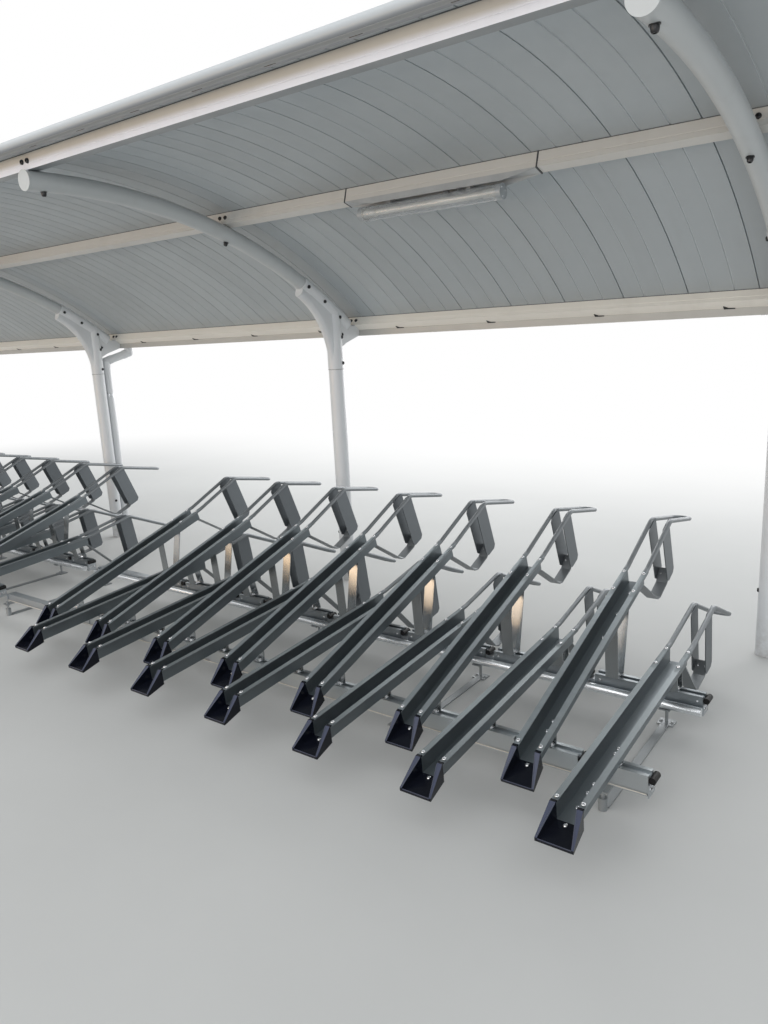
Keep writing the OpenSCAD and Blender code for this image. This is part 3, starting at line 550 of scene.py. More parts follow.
def moulded(name, colour, rough, dust=0.0, shine=0.5, painted_rim_highlight=None):
    """Moulded plastic: fine grain, faint flow shading, and a little pale dust on what faces up. Faces that look
    forward and up can get a painted highlight: a lighter tone for the light they catch."""
    f = Finish(name, IOR=1.5, Specular_IOR_Level=shine)
    tone = f.mix(f.drift(9), scaled(colour, 0.88), scaled(colour, 1.12))
    up = f.axis(2, f.add("NewGeometry").outputs["Normal"])
    film = f.times(f.spread(up, 0.3, 1.0, 0.0, dust), f.spread(f.noise(34, 5, 0.6), 0.40, 0.80))
    tone = f.mix(film, tone, linear(112, 110, 106))
    # Painted highlight on faces that look forward and up.
    if painted_rim_highlight:
        faces = f.add("NewGeometry").outputs["True Normal"]
        forward = f.math("LESS_THAN", f.axis(1, faces), -0.60)
        upward = f.math("GREATER_THAN", f.axis(2, faces), 0.20)
        tone = f.mix(f.times(forward, upward), tone, painted_rim_highlight)
    gloss = f.plus(f.drift(30, 3, rough - 0.03, rough + 0.04), f.times(film, 0.8))
    return f.done(tone, gloss, f.bump(f.noise(900, 3, 0.6), 0.00012, 0.3))


def plated_steel(name, colour):
    """Turned and plated steel: fine turning marks and a slight stain."""
    f = Finish(name, Metallic=1.0)
    tone = f.mix(f.spread(f.noise(240, 3), 0.3, 0.75), colour, scaled(colour, 0.72))
    return f.done(tone, f.drift(500, 2, 0.17, 0.32), f.bump(f.noise(1500, 2), 0.00006, 0.3))


def light_body_finish():
    """White housing ends and holders, with the milky glass of the lamp between the holders."""
    f = Finish("lamp_and_housing", IOR=1.5, Coat_Weight=0.4, Coat_Roughness=0.08)
    half, holder = COVER_LEN / 2, 0.0605
    off = f.away(f.axis(0), COVER_X + half)
    glass = f.math("LESS_THAN", off, half - holder)
    plastic = f.mix(f.drift(40, 4), linear(214, 214, 208), linear(228, 228, 222))
    ends = f.spread(off, half - 0.09, half - 0.06, 0.0, 0.35)
    milk = f.mix(ends, linear(232, 231, 224), linear(196, 192, 180))
    smoky = f.mix(f.drift(25), linear(150, 156, 160), linear(160, 165, 168))
    outside = f.math("GREATER_THAN", off, half + 0.0001)
    tone = f.mix(outside, f.mix(glass, plastic, milk), smoky)
    gloss = f.math("SUBTRACT", f.drift(70, 3, 0.28, 0.36), f.times(glass, 0.18))
    return f.done(tone, gloss, f.bump(f.noise(800, 2), 0.0001, 0.2))


def clear_plastic():
    """Clear acrylic, a little frosted by age and dust."""
    f = Finish("clear_acrylic", IOR=1.45, Transmission_Weight=0.84)
    film = f.spread(f.noise(18, 4, 0.5, f.stretched(0.3, 1.0, 1.0)), 0.35, 0.75)
    tone = f.mix(film, linear(246, 248, 249), linear(230, 234, 236))
    return f.done(tone, f.spread(film, 0, 1, 0.18, 0.26), f.bump(f.noise(4.0, 2), 0.0004, 0.10))


def bracket_finish():
    """Grey coated bracket whose two end straps are bare dark steel."""
    f = Finish("bracket_grey", Metallic=0.10)
    strap_t = 0.0052
    strap = f.math("GREATER_THAN", f.away(f.axis(0), LIGHT_X + LIGHT_LEN / 2), LIGHT_LEN / 2 - strap_t)
    grey = f.mix(f.drift(16, 5), linear(170, 173, 175), linear(182, 185, 186))
    tone = f.mix(strap, grey, linear(58, 59, 62))
    return f.done(tone, f.drift(60, 3, 0.36, 0.48), f.bump(f.noise(500, 2), 0.0001, 0.3))


BEAD_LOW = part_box("front_trim")[0].z
# Painted shade on the roof's front bead: darker towards its lowest edge.
BEAD_PAINTED_SHADE = (BEAD_LOW + 0.006, BEAD_LOW + 0.030, linear(128, 132, 136))
# Painted light on the upper racks' lips.
PAINTED_LIT_LIP = linear(168, 176, 180)

WHITE = painted("white_powder_coat", linear(219, 221, 223), ground_dust=0.55)
# Painted shade: the arms are the posts' white paint, darker for the shade under the roof.
ARM_WHITE_PAINTED_SHADE = painted("arm_powder_coat_painted_shade", linear(190, 194, 195))
TRIM_WHITE = painted("trim_powder_coat", linear(200, 206, 210), foot=BEAD_PAINTED_SHADE)
TRIM_LIP = painted("trim_lip_grey", linear(150, 152, 152), rough=0.42)
PURLIN_CREAM = painted("purlin_powder_coat", linear(206, 204, 199), rough=0.38)
REAR_CREAM = painted("rear_beam_powder_coat", linear(240, 236, 227), rough=0.38)
# Front beam: white paint, with painted shade in its upper half and on its underside.
BEAM = beam_paint_with_painted_shade("front_beam_paint", linear(240, 240, 246), upper=linear(212, 206, 196),
                    under=linear(136, 141, 144))
# Painted shade: the gutter is grey for the shade it hangs in under the rear beam.
GUTTER_PAINTED_SHADE = painted("gutter_painted_shade_grey", linear(184, 183, 178), rough=0.36)
SHEET = roof_sheet()
ZINC = rail_strip("tube_zinc", linear(240, 243, 246), 0.27, 0.90, bloom_share=0.05)
RAIL_STEEL = rail_strip("rail_steel", linear(182, 187, 191), 0.36, 0.88)
RAIL_LIP = rail_strip("rail_lip_zinc", linear(212, 209, 201), 0.5, 0.15)
CARRIAGE_STEEL = rail_strip("carriage_steel", linear(140, 146, 150), 0.40, 0.90)
FRONT_CARRIAGE_STEEL = rail_strip("front_carriage_steel", linear(180, 186, 189), 0.42, 0.85)
FOOT_ZINC = rail_strip("foot_zinc", linear(150, 154, 156), 0.45, 0.60, bloom_share=0.22)
CLIP_ZINC = galvanised("clip_zinc", linear(200, 203, 206), rough=0.30, cell=120)
DARK_STRAP = galvanised("dark_strap", linear(118, 120, 122), rough=0.5, cell=300, metal=0.3)
# Lip colours are painted light on the trays' upper faces, paler on the steeper upper racks.
UPPER_TRAY = strip_steel("upper_tray_steel", linear(122, 129, 133), kind=UPPER, lip=PAINTED_LIT_LIP)
LOWER_TRAY = strip_steel("lower_tray_steel", linear(118, 125, 129), kind=LOWER, lip=linear(134, 141, 144))
UPPER_NECK = strip_steel("upper_neck_steel", linear(130, 134, 137), rough=0.44, metal=0.7,
                         kind=UPPER, lip=PAINTED_LIT_LIP)
LOWER_NECK = strip_steel("lower_neck_steel", linear(130, 134, 137), rough=0.44, metal=0.7,
                         kind=LOWER, lip=linear(138, 145, 148))
LEG_STEEL = strip_steel("leg_steel", linear(164, 168, 170), along="z", rough=0.21, metal=0.92, lines_share=0.018)
BAR_STEEL = strip_steel("bar_steel", linear(132, 136, 139), rough=0.44, metal=0.70)
PLATE_STEEL = strip_steel("plate_steel", linear(112, 117, 121), rough=0.40, metal=0.78)
# The noses' forward-looking faces get a painted highlight.
PLASTIC = moulded("black_moulding", linear(13, 16, 26), 0.22, shine=0.30, painted_rim_highlight=linear(64, 70, 90))
RIM = moulded("rim_moulding", linear(66, 71, 88), 0.34)
RUBBER = moulded("black_rubber", linear(13, 13, 14), 0.46, shine=0.30)
BLACK_CAP = moulded("black_cap", linear(24, 25, 28), 0.30, dust=0.10)
# Mid grey for the purlins' seals, and a painted shadow for the joint rings at the posts.
SEAL_AND_SEAM_SHADOW = moulded("seam_shadow", linear(92, 94, 95), 0.6)
SCREW = plated_steel("stainless", linear(226, 228, 230))
BRACKET = bracket_finish()
LAMP = light_body_finish()
ACRYLIC = clear_plastic()

FINISH_OF_NODE = {
    "posts": WHITE, "knuckles": WHITE, "arms": ARM_WHITE_PAINTED_SHADE, "arm_caps": ARM_WHITE_PAINTED_SHADE, "downpipe": WHITE,
    "front_beam": BEAM, "middle_purlin": PURLIN_CREAM, "rear_beam": REAR_CREAM, "front_trim": TRIM_WHITE,
    "rear_gutter": GUTTER_PAINTED_SHADE, "gutter_ends": GUTTER_PAINTED_SHADE, "pipe_clips": CLIP_ZINC,
    "roof_left": SHEET, "roof_middle": SHEET, "roof_right": SHEET,
    "light_bracket": BRACKET, "light_body": LAMP, "light_cover": ACRYLIC,
    "rear_tubes": ZINC, "rail_feet": FOOT_ZINC, "cross_ties": FOOT_ZINC,
    "rollers": RUBBER, "first_rollers": RUBBER,
    "upper_trays": UPPER_TRAY, "first_tray": UPPER_TRAY, "lower_trays": LOWER_TRAY,
}
FINISH_OF_WORD = [
    ("nose", PLASTIC), ("front_carriage", FRONT_CARRIAGE_STEEL), ("carriage", CARRIAGE_STEEL),
    ("rails", RAIL_STEEL), ("legs", LEG_STEEL), ("plates", PLATE_STEEL),
]


def finish_of(name):
    """A CAD node's finish, by its name, or else by the first word that its name contains."""
    if name in FINISH_OF_NODE:
        return FINISH_OF_NODE[name]
    return next((finish for word, finish in FINISH_OF_WORD if word in name), BAR_STEEL)


def dress_cad_nodes():
    """Each CAD node keeps its shape and gets its own finish."""
    for name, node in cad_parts.items():
        for slot in node.material_slots:
            slot.material = finish_of(name)


# ---- details of the racks, in a rack's own frame

NOSES = [("upper_noses", UPPER), ("lower_noses", LOWER), ("first_nose", UPPER)]
CRADLES = [("upper_cradles", UPPER), ("lower_cradles", LOWER), ("first_cradle", UPPER)]

# The flattened end of a hoop's bar: (place along the tray, height, half width, half height).
NECK = [(0.836, 0.0001, 0.0066, 0.0003), (0.856, 0.0010, 0.0078, 0.0010), (0.940, 0.0016, 0.0082, 0.0016),
        (0.990, 0.0018, 0.0084, 0.0018), (1.003, 0.0016, 0.0090, 0.0044), (1.014, -0.0012, 0.0097, 0.0088),
        (1.026, -0.0020, 0.0099, 0.0099), (1.034, -0.0020, 0.0098, 0.0098)]

LIP_RIVETS = [(0.002, 0.039), (0.869, 0.040), (0.993, 0.040)]  # (place along the tray, out from its middle)
LIP_RIVET_LIFT = 0.003
UPPER_FLOOR_RIVETS = [0.121, 0.169, 0.633, 0.783, 0.927]  # places along the tray
LOWER_FLOOR_RIVETS = [0.049, 0.123, 0.171, 0.344, 0.374]
# Where the rays start that find these rivets' seats.
NOSE_RIVETS, CRADLE_RIVETS = [(0, -0.034, 0.02)], [(-0.0145, 1.338, -0.12), (0.0145, 1.338, -0.12)]

# One half of the inner edge of a nose's mouth, from the tray's lip to the tip.
RIM_HALF = [(0.0318, -0.0283, 0.0008), (0.0511, -0.1090, -0.0585), (0.0511, -0.1098, -0.0650)]
RIM_R = 0.0017

PLATE_WELD = [(1.292, 0.034), (1.322, 0.0405), (1.352, 0.0385)]  # (along the tray, height)
WELD_X, WELD_R, WELD_SEED = BAR_X - BAR_D / 2 + 0.0005, 0.0026, 11

LEG_FOOT_T = 0.004
LEG_BOLTS_Y = (REAR_RAIL_Y, FRONT_RAIL_Y - 0.007)
LEG_BOLTS = [(-0.014, -0.84), (0.014, 0.84)]  # (out from the rack's middle, turn of the head)
WHEEL_IN, WHEEL_UP = 0.020, 0.046  # hidden wheels: in from a carriage's ends, and above the rail's foot


def hoop_necks(body, racks):
    """The hoop's bars run out into flattened ends, which lie on the tray's lips under two rivets each."""
    for label, row, finish in (("upper", UPPER, UPPER_NECK), ("lower", LOWER, LOWER_NECK)):
        shapes = [placed(shifted(loft(NECK), side * BAR_X, 0, 0), rack_matrix(x, kind))
                  for x, kind in racks if kind is row for side in (-1, 1)]
        if shapes:
            make(f"{label}_hoop_necks_{body}", shapes, finish, body)


def rack_rivets(body, racks):
    """Rivets through the trays' lips and floors, and through the noses."""
    shapes = []
    for x, kind in racks:
        spots = [(side * across, s, LIP_RIVET_LIFT) for s, across in LIP_RIVETS for side in (-1, 1)]
        spots += [(0, s, TRAY_T - TRAY_H) for s in (UPPER_FLOOR_RIVETS if kind is UPPER else LOWER_FLOOR_RIVETS)]
        shapes += [placed(shifted(rivet(*TRAY_RIVET), *spot), rack_matrix(x, kind)) for spot in spots]
    shapes += set_on_racks(rivet(*TRAY_RIVET), racks, NOSES, NOSE_RIVETS)
    make(f"tray_rivets_{body}", shapes, SCREW, body)


def nose_rims(body, racks):
    """Rounded bead along the inner edge of each nose's mouth: down one side, across the tip and up the other."""
    path = [Vector(p) for p in RIM_HALF] + [Vector((-x, s, t)) for x, s, t in reversed(RIM_HALF)]
    bead = sweep(path, [RIM_R] * len(path), 8)
    shapes = [placed(bead, rack_matrix(x, kind)) for x, kind in racks]
    make(f"nose_rims_{body}", shapes, RIM, body)


def cradle_rivets(body, racks):
    """Rivets through the cradle's raised end, between the guide plates."""
    shapes = set_on_racks(rivet(*CRADLE_RIVET), racks, CRADLES, CRADLE_RIVETS)
    make(f"cradle_rivets_{body}", shapes, SCREW, body)


def plate_welds(body, racks):
    """Weld beads where the guide plates meet the hoop's bars."""
    rng = random.Random(WELD_SEED)
    shapes = []
    for x, kind in racks:
        for side in (-1, 1):
            path = [Vector((side * WELD_X, s, t)) for s, t in PLATE_WELD]
            shapes.append(placed(weld(path, WELD_R, rng), rack_matrix(x, kind)))
    make(f"plate_welds_{body}", shapes, BAR_STEEL, body, smooth=70)


def leg_bolts(body, racks):
    """Bolts that hold each leg's foot to its carriage."""
    top = CARRIAGE_TOP + SEAT_GAP + LEG_FOOT_T
    shapes = [shifted(hex_bolt(*LEG_BOLT, turn), x + out, y, top)
              for x, _ in racks for y in LEG_BOLTS_Y for out, turn in LEG_BOLTS]
    make(f"leg_bolts_{body}", shapes, SCREW, body)


def carriage_rivets(body, racks):
    """Rivets of the hidden wheels: on both faces of each rear carriage, and on the front one's rear face."""
    shapes = []
    for x, _ in racks:
        for y, side in ((REAR_RAIL_Y, -1), (REAR_RAIL_Y, 1), (FRONT_RAIL_Y, 1)):
            for across in (CARRIAGE_X[0] + WHEEL_IN, CARRIAGE_X[1] - WHEEL_IN):
                at = Vector((x + across, y + side * CARRIAGE_HALF, RAIL_Z + WHEEL_UP))
                shapes.append(placed(rivet(*CARRIAGE_RIVET), facing(at, (0, side, 0))))
    make(f"carriage_rivets_{body}", shapes, SCREW, body)


# ---- details of the rails

END_PLATE_T, END_BOLT_OUT, END_BOLT_UP = 0.003, 0.012, 0.018
FOOT_BOLT_OUT, FOOT_BOLT_Y, FOOT_PLATE_T = 0.020, REAR_RAIL_Y - 0.021, 0.005
THREAD_R, THREAD_Y = 0.0062, FRONT_RAIL_Y - 0.058
THREAD_SPANS = [(RAIL_Z - SEAT_GAP, RAIL_Z + 0.0112), (0.042, 0.059)]
LIP_IN, LIP_T, LIP_H = 0.004, 0.0016, 0.0066  # a rail lip: in from the rail's ends, and its section
LIP_SINK = 0.0002  # how far the lip's outer face lies behind the flange's edge, and its foot above the rail's


def rail_fixings():
    """End-plate bolts, foot bolts, and the threads that stand over the front feet's nuts."""
    bolts, foot_bolts, threads = [], [], []
    for end, feet in zip(RAIL_ENDS, FEET):
        for y in (FRONT_RAIL_Y, REAR_RAIL_Y):
            for x, way in ((end + END_PLATE_T, 1), (end - RAIL_LEN - END_PLATE_T, -1)):
                for out in (-END_BOLT_OUT, END_BOLT_OUT):
                    at = (x, y + out, RAIL_Z + END_BOLT_UP)
                    bolts.append(placed(hex_bolt(*END_BOLT), facing(at, (way, 0, 0))))
        for x in (end - foot for foot in feet):
            for out in (-FOOT_BOLT_OUT, FOOT_BOLT_OUT):
                foot_bolts.append(shifted(hex_bolt(*FOOT_BOLT), x + out, FOOT_BOLT_Y, FOOT_PLATE_T))
            for low, high in THREAD_SPANS:
                threads.append(shifted(thread(THREAD_R, low, high), x, THREAD_Y, 0))
    make("rail_bolts", bolts, SCREW, "shelter")
    make("rail_foot_bolts", foot_bolts, FOOT_ZINC, "shelter")
    make("foot_threads", threads, SCREW, "shelter")


def rail_lips():
    """Upturned bright lip along the front edge of the front rails' flanges."""
    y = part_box("front_rails")[0].y + LIP_SINK
    z = RAIL_Z + LIP_SINK
    strips = [slab((end - RAIL_LEN + LIP_IN, y, z), (end - LIP_IN, y + LIP_T, z + LIP_H), 0.0004)
              for end in RAIL_ENDS]
    make("rail_lips", strips, RAIL_LIP, "shelter")


# ---- details of the shelter

KNUCKLE_BOLTS = [(-0.241, 1.765), (-0.111, 1.687), (0.010, 1.599), (0.020, 1.485), (0.042, 1.500), (0.015, 1.335)]
ARM_BOLTS_Y, UNDER_ARM_R = [-1.740, -0.779], 2.7
BEAM_BOLT_OUT, BEAM_BOLT_UP = 0.019, 0.031
HOOK_FIRST, HOOK_STEP = 1.6, 2  # in panels
HOOK = [(-0.024, -0.027), (0.024, -0.027), (0.024, -0.023), (-0.004, -0.021), (-0.024, -0.007)]
HOOK_T, HOOK_DROP = 0.0032, 0.0030
POST_BOLT_Z, POST_BOLT_TURN = 0.300, math.radians(17)
SEAM_HALF, SEAM_OUT, ABOVE_SEAM = 0.0012, 0.0006, 0.004
LIP_TURNS = [math.radians(a) for a in range(236, 309, 12)]  # the trim lip's section, round the bead
LIP_OUTER, LIP_INNER = TRIM_R + 0.0016, TRIM_R - 0.0010
TICK, TICK_R = [(-0.021, -0.0010), (0.021, -0.0010), (0.021, 0.0012), (-0.021, 0.0030)], TRIM_R + 0.0026
TICK_AT, SCREW_AT, SCREW_TURN = 0.17, 1 / 6, 0.7  # in each panel: shares of its width, and a turn
SEAL_Y, SEAL_Z = (PURLIN_W / 2 - 0.001, PURLIN_W / 2 + 0.0008), (0.0568, 0.0598)  # on a purlin's seat
ROOF_END = 0.004  # how far strips along the roof stop before its ends


def knuckle_bolts():
    """Bolts through both sides of each knuckle."""
    tree = tree_of("knuckles")
    shapes = []
    for post in POSTS:
        for side in (-1, 1):
            for y, z in KNUCKLE_BOLTS:
                shapes += set_on(capped_bolt(*KNUCKLE_BOLT), tree, (post + side * RAY_OFF, y, z), (-side, 0, 0))
    make("knuckle_bolts", shapes, BLACK_CAP, "shelter")


def arm_bolts():
    """Bolts that come down through each arm from the purlins."""
    tree = tree_of("arms")
    bolt = joined([washer(*ARM_WASHER), shifted(capped_bolt(*ARM_BOLT), 0, 0, ON_WASHER)])
    shapes = []
    for post in POSTS:
        for y in ARM_BOLTS_Y:
            way = outward(arc_angle(ARM_R, y))
            shapes += set_on(bolt, tree, CURVE + Vector((post, 0, 0)) + way * UNDER_ARM_R, way)
    make("arm_bolts", shapes, BLACK_CAP, "shelter")


def beam_bolts():
    """Pairs of bolts on the front face of each purlin, either side of every arm."""
    shapes = []
    for name, y in PURLIN_FRONT_Y.items():
        tree = tree_of(name)
        seat = purlin_seat(y)
        back = seat.to_3x3() @ Vector((0, -1, 0))
        for post in POSTS:
            for out in (-BEAM_BOLT_OUT, BEAM_BOLT_OUT):
                start = seat @ Vector((post + out, RAY_OFF, BEAM_BOLT_UP))
                shapes += set_on(capped_bolt(*BEAM_BOLT), tree, start, back)
    make("beam_bolts", shapes, BLACK_CAP, "shelter")


def gutter_hooks():
    """Black hooks of the gutter's hangers, at the rear edge of the rear beam's foot, at every second panel."""
    seat = purlin_seat(PURLIN_FRONT_Y["rear_beam"])
    shapes = []
    for i in range(PANELS // HOOK_STEP):
        x = ROOF_X[0] + (HOOK_FIRST + HOOK_STEP * i) * PANEL_W
        shapes.append(placed(shifted(prism(HOOK, HOOK_T), x, 0, -HOOK_DROP), seat))
    make("gutter_hooks", shapes, BLACK_CAP, "shelter")


def post_seams():
    """A thin grey ring, a painted shadow of the joint where each knuckle's socket meets its post, and a bolt low on
    both sides of the post.
    """
    sockets, posts = tree_of("knuckles"), tree_of("posts")
    rings, bolts = [], []
    for post in POSTS:
        above, _ = on_surface(sockets, (post + RAY_OFF, 0, SEAM_Z + ABOVE_SEAM), (-1, 0, 0))
        r = above.x - post
        edge = [(r + SEAM_OUT, 0.0002 - SEAM_HALF), (r + SEAM_OUT, SEAM_HALF - 0.0002)]
        band = lathe([(r * 0.9, -SEAM_HALF), *edge, (r * 0.9, SEAM_HALF)], 48)
        rings.append(shifted(band, post, 0, SEAM_Z))
        for side in (-1, 1):
            way = Vector((-side * math.cos(POST_BOLT_TURN), math.sin(POST_BOLT_TURN), 0))
            start = Vector((post, 0, POST_BOLT_Z)) - way * RAY_OFF
            bolts += set_on(capped_bolt(*POST_BOLT), posts, start, way)
    make("post_seams", rings, SEAL_AND_SEAM_SHADOW, "shelter")
    make("post_bolts", bolts, BLACK_CAP, "shelter")


def trim_lip():
    """Folded lip under the roof's front bead, and the ends of the panel joints that show on it."""
    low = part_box("front_trim")[0]
    middle = Vector((0, low.y + TRIM_R, low.z + TRIM_R))
    outer = [outward(a) * LIP_OUTER for a in LIP_TURNS]
    inner = [outward(a) * LIP_INNER for a in reversed(LIP_TURNS)]
    ends = [Vector((x, 0, 0)) for x in (ROOF_X[0] + ROOF_END, ROOF_X[1] - ROOF_END)]
    lip = skin([[middle + end + p for p in outer + inner] for end in ends])
    make("trim_lip", [lip], TRIM_LIP, "shelter")
    joints = [middle + Vector((ROOF_X[0] + (i + TICK_AT) * PANEL_W, 0, 0)) for i in range(1, PANELS)]
    shapes = [placed(prism(TICK, TICK_R), facing(at, outward(LIP_TURNS[4]))) for at in joints]
    make("joint_ends", shapes, BLACK_CAP, "shelter")


def purlin_seals():
    """Dark sealing strips along the top of each purlin's front face, where the roof lies on it."""
    low, high = (ROOF_X[0] + ROOF_END, SEAL_Y[0], SEAL_Z[0]), (ROOF_X[1] - ROOF_END, SEAL_Y[1], SEAL_Z[1])
    strips = [placed(slab(low, high, 0.0003), purlin_seat(y)) for y in PURLIN_FRONT_Y.values()]
    make("purlin_seals", strips, SEAL_AND_SEAM_SHADOW, "shelter")


def roof_screws():
    """Sheet screws with sealing washers on the roof's top, in the flat beside each joint."""
    rings, heads = [], []
    for y in PURLIN_FRONT_Y.values():
        out = purlin_seat(y).to_3x3() @ Vector((0, 0, 1))
        for i in range(PANELS):
            at = CURVE + out * FLAT_R + Vector((ROOF_X[0] + (i + SCREW_AT) * PANEL_W, 0, 0))
            rings.append(placed(washer(*ROOF_WASHER), facing(at, out)))
            heads.append(placed(hex_bolt(*ROOF_SCREW, i * SCREW_TURN), facing(at + out * ON_WASHER, out)))
    make("roof_seals", rings, RUBBER, "shelter")
    make("roof_screws", heads, SCREW, "shelter")


CLIP_SHARES = (0.25, 0.65, 0.75)  # of the cover's length
# The three slabs of a clip: half its width, then from and to in the seat's Y and Z.
CLIP_SLABS = [(0.012, (-0.028, -0.0305), (-0.026, 0.002)), (0.005, (-0.0295, -0.022), (-0.028, -0.006)),
              (0.012, (-0.030, -0.0325), (0.030, -0.0305))]
COVER_Z, END_CAP = -0.0586, 0.022  # the cover's middle under the seat, and its end caps' length
CAP_SCREWS = [(0.016, 0.010), (-0.016, 0.010), (0.0, -0.019)]
GUTTER_RIVETS_X = [ROOF_X[0] + 0.012, ROOF_X[1] - 0.012, *(post + off for post in POSTS for off in (-0.140, -0.120))]
GUTTER_RIVETS_IN = (0.014, 0.044, 0.074)
PIPE_CLIPS_Z = (0.350, 1.120)
PIPE_SCREW_OUT, PIPE_SCREW_Y, PIPE_SCREW_UP = 0.0110, 0.052, 0.011


def light_details():
    """Spring clips over the bracket's flange, and the screws of the end caps."""
    seat = purlin_seat(PURLIN_FRONT_Y["middle_purlin"])
    clips, screws = [], []
    for x in (COVER_X + share * COVER_LEN for share in CLIP_SHARES):
        for half, low, high in CLIP_SLABS:
            clips.append(placed(slab((x - half, *low), (x + half, *high)), seat))
    for x, way in ((COVER_X - END_CAP, -1), (COVER_X + COVER_LEN + END_CAP, 1)):
        for y, z in CAP_SCREWS:
            screws.append(placed(pan_screw(*LIGHT_SCREW), facing(seat @ Vector((x, y, COVER_Z + z)), (way, 0, 0))))
    make("light_clips", clips, DARK_STRAP, "shelter")
    make("light_screws", screws, SCREW, "shelter")


def gutter_details():
    """Rivets under the gutter that hold its end plates and its joints."""
    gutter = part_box("rear_gutter")
    shapes = [placed(rivet(*GUTTER_RIVET), facing((x, gutter[0].y + y, gutter[0].z), (0, 0, -1)))
              for x in GUTTER_RIVETS_X for y in GUTTER_RIVETS_IN]
    make("gutter_rivets", shapes, SCREW, "shelter")


def pipe_clip_screws():
    """Screws on both sides of the downpipe's clips."""
    shapes = []
    for z in PIPE_CLIPS_Z:
        for side in (-1, 1):
            at = (PIPE_POST + side * PIPE_SCREW_OUT, PIPE_SCREW_Y, z + PIPE_SCREW_UP)
            shapes.append(placed(pan_screw(*PIPE_SCREW), facing(at, (side, 0, 0))))
    make("pipe_clip_screws", shapes, SCREW, "shelter")


# ---- floor, light and camera

FLOOR_REACH, FLOOR_Z = 60, -0.001
RACKS_MIDDLE, RACKS_HALF, RACKS_Y = -1.2, 3.6, -0.8  # the stretch of ground round which the floor keeps its shadows
FADE_FROM, FADE_TO = 2.0, 7.0  # distance from that stretch over which the floor fades to white
SKY, SKY_STRENGTH = (0.93, 0.97, 1.0, 1), 0.70
LAMPS = [  # name, place, what it faces, size, power, colour
    ("front_sky", (1.0, -9.0, 5.0), (-0.8, -1.0, 0.4), (12, 4), 190, (1, 1, 1)),
    ("front_low", (0.0, -9.5, 1.6), (-0.8, 0.0, 1.4), (14, 2.4), 150, (1, 1, 1)),
    ("rear_sky", (-1.0, 7.0, 5.0), (-0.8, 0.0, 0.8), (12, 4), 380, (1, 1, 1)),
    ("rear_low", (-0.8, 6.8, 0.9), (-0.8, -0.4, 1.8), (12, 1.2), 110, (1, 1, 1)),
    ("warm_wall", (-4.4, -9.0, 0.8), (1.0, -0.8, 0.3), (6.0, 1.4), 95, (1.0, 0.56, 0.19)),
]


def background_ray(tree):
    """1 for the rays that show the background: the camera's own, and those of metal and glass."""
    path = tree.nodes.new("ShaderNodeLightPath")
    total = path.outputs["Is Camera Ray"]
    for kind in ("Is Glossy Ray", "Is Transmission Ray"):
        most = tree.nodes.new("ShaderNodeMath")
        most.operation = "MAXIMUM"
        tree.links.new(total, most.inputs[0])
        tree.links.new(path.outputs[kind], most.inputs[1])
        total = most.outputs[0]
    return total


def floor_finish():
    """Pale and matt, and glowing white far away for the rays that show the background."""
    f = Finish("pale_floor", Roughness=0.9)
    tone = f.mix(f.drift(0.8, 5), linear(206, 206, 204), linear(212, 212, 210))
    f.done(tone, relief=f.bump(f.noise(60, 4), 0.0005, 0.15))
    past_end = f.math("MAXIMUM", f.math("SUBTRACT", f.away(f.axis(0), RACKS_MIDDLE), RACKS_HALF), 0.0)
    beside = f.math("SUBTRACT", f.axis(1), RACKS_Y)
    distance = f.math("SQRT", f.plus(f.math("POWER", past_end, 2.0), f.math("POWER", beside, 2.0)))
    far = f.add("MapRange", {"Value": distance, "From Min": FADE_FROM, "From Max": FADE_TO},
                interpolation_type="SMOOTHSTEP").outputs["Result"]
    glow = f.add("Emission", {"Color": (1, 1, 1, 1), "Strength": 1.0}).outputs[0]
    both = f.add("MixShader", {0: f.times(far, background_ray(f.tree)), 1: f.shader.outputs[0], 2: glow}).outputs[0]
    f.tree.links.new(both, f.tree.nodes["Material Output"].inputs["Surface"])
    return f.material


def stage_floor():
    """Pale floor that keeps the shadows and runs out into the white background far away."""
    corners = [(x * FLOOR_REACH, y * FLOOR_REACH, FLOOR_Z) for x, y in ((-1, -1), (1, -1), (1, 1), (-1, 1))]
    mesh = bpy.data.meshes.new("floor")
    mesh.from_pydata(corners, [], [(0, 1, 2, 3)])
    floor = bpy.data.objects.new("floor", mesh)
    bpy.context.scene.collection.objects.link(floor)
    floor.data.materials.append(floor_finish())


def lamp(name, at, target, size, power, colour):
    """Large soft area lamp that the camera doesn't see."""
    data = bpy.data.lights.new(name, "AREA")
    data.shape = "RECTANGLE"
    data.size, data.size_y = size
    data.energy = power
    data.color = colour
    light = bpy.data.objects.new(name, data)
    light.location = at
    light.rotation_euler = (Vector(target) - Vector(at)).to_track_quat("-Z", "Y").to_euler()
    light.visible_camera = False
    bpy.context.scene.collection.objects.link(light)


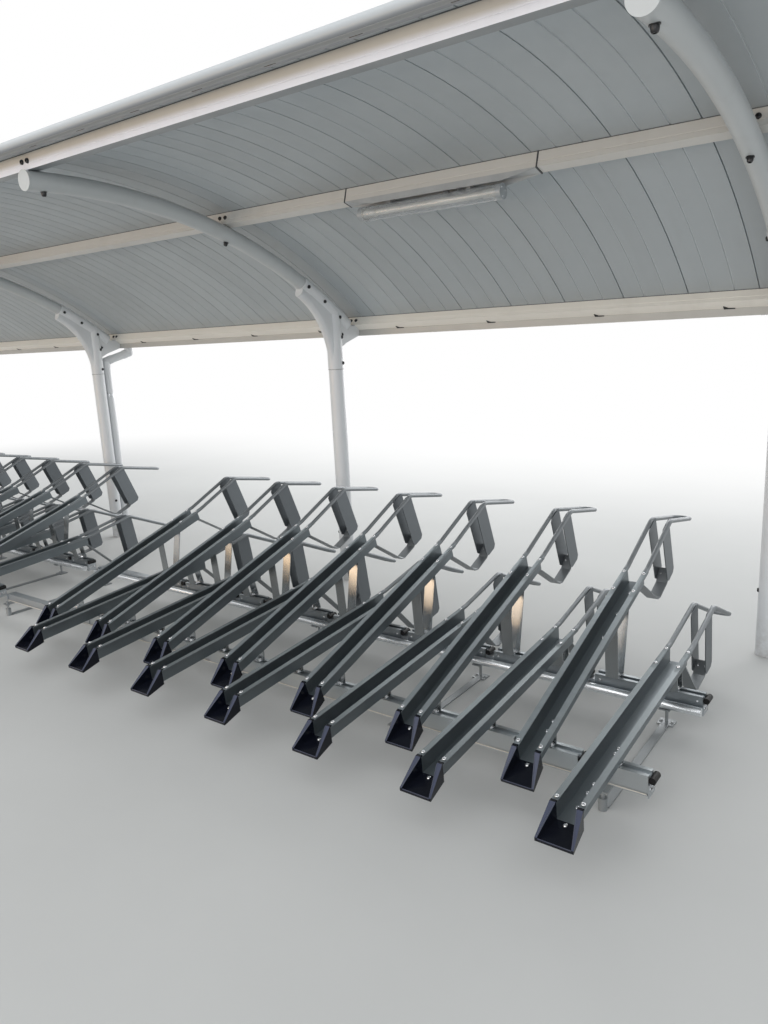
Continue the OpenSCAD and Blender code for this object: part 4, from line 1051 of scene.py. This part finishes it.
def sky_light():
    """Even light from all round, with a white background for the rays that show it."""
    world = bpy.data.worlds.new("studio")
    bpy.context.scene.world = world
    world.use_nodes = True
    tree = world.node_tree
    ground = tree.nodes["Background"]
    ground.inputs["Color"].default_value = SKY
    ground.inputs["Strength"].default_value = SKY_STRENGTH
    white = tree.nodes.new("ShaderNodeBackground")
    white.inputs["Color"].default_value = (1, 1, 1, 1)
    white.inputs["Strength"].default_value = 1.0
    mix = tree.nodes.new("ShaderNodeMixShader")
    tree.links.new(background_ray(tree), mix.inputs[0])
    tree.links.new(ground.outputs[0], mix.inputs[1])
    tree.links.new(white.outputs[0], mix.inputs[2])
    tree.links.new(mix.outputs[0], tree.nodes["World Output"].inputs["Surface"])


def photo_camera():
    """The photo's camera, as solved from the photo."""
    focal_px, long_px = 775.4, 1024
    place = (3.019, -3.603, 1.476)
    yaw, pitch, roll = (math.radians(v) for v in (37.01, -12.74, -2.89))
    data = bpy.data.cameras.new("camera")
    data.sensor_width = 36
    data.lens = focal_px / long_px * data.sensor_width
    data.clip_end = 200
    forward = Vector((-math.sin(yaw) * math.cos(pitch), math.cos(yaw) * math.cos(pitch), math.sin(pitch)))
    right = Vector((math.cos(yaw), math.sin(yaw), 0))
    up = right.cross(forward)
    right_rolled = right * math.cos(roll) + up * math.sin(roll)
    up_rolled = up * math.cos(roll) - right * math.sin(roll)
    turn = Matrix((right_rolled, up_rolled, -forward)).transposed().to_4x4()
    camera = bpy.data.objects.new("camera", data)
    camera.matrix_world = Matrix.Translation(place) @ turn
    bpy.context.scene.collection.objects.link(camera)
    bpy.context.scene.camera = camera


# ---- the scene

dress_cad_nodes()
for details in (hoop_necks, rack_rivets, nose_rims, cradle_rivets, plate_welds, leg_bolts, carriage_rivets):
    for body in ("shelter", "first_rack"):
        details(body, [(x, kind) for x, kind, rides_on in RACKS if rides_on == body])
rail_fixings()
rail_lips()
knuckle_bolts()
arm_bolts()
beam_bolts()
gutter_hooks()
post_seams()
trim_lip()
purlin_seals()
roof_screws()
light_details()
gutter_details()
pipe_clip_screws()
stage_floor()
sky_light()
for row in LAMPS:
    lamp(*row)
photo_camera()
bpy.context.scene.view_settings.view_transform = "Standard"
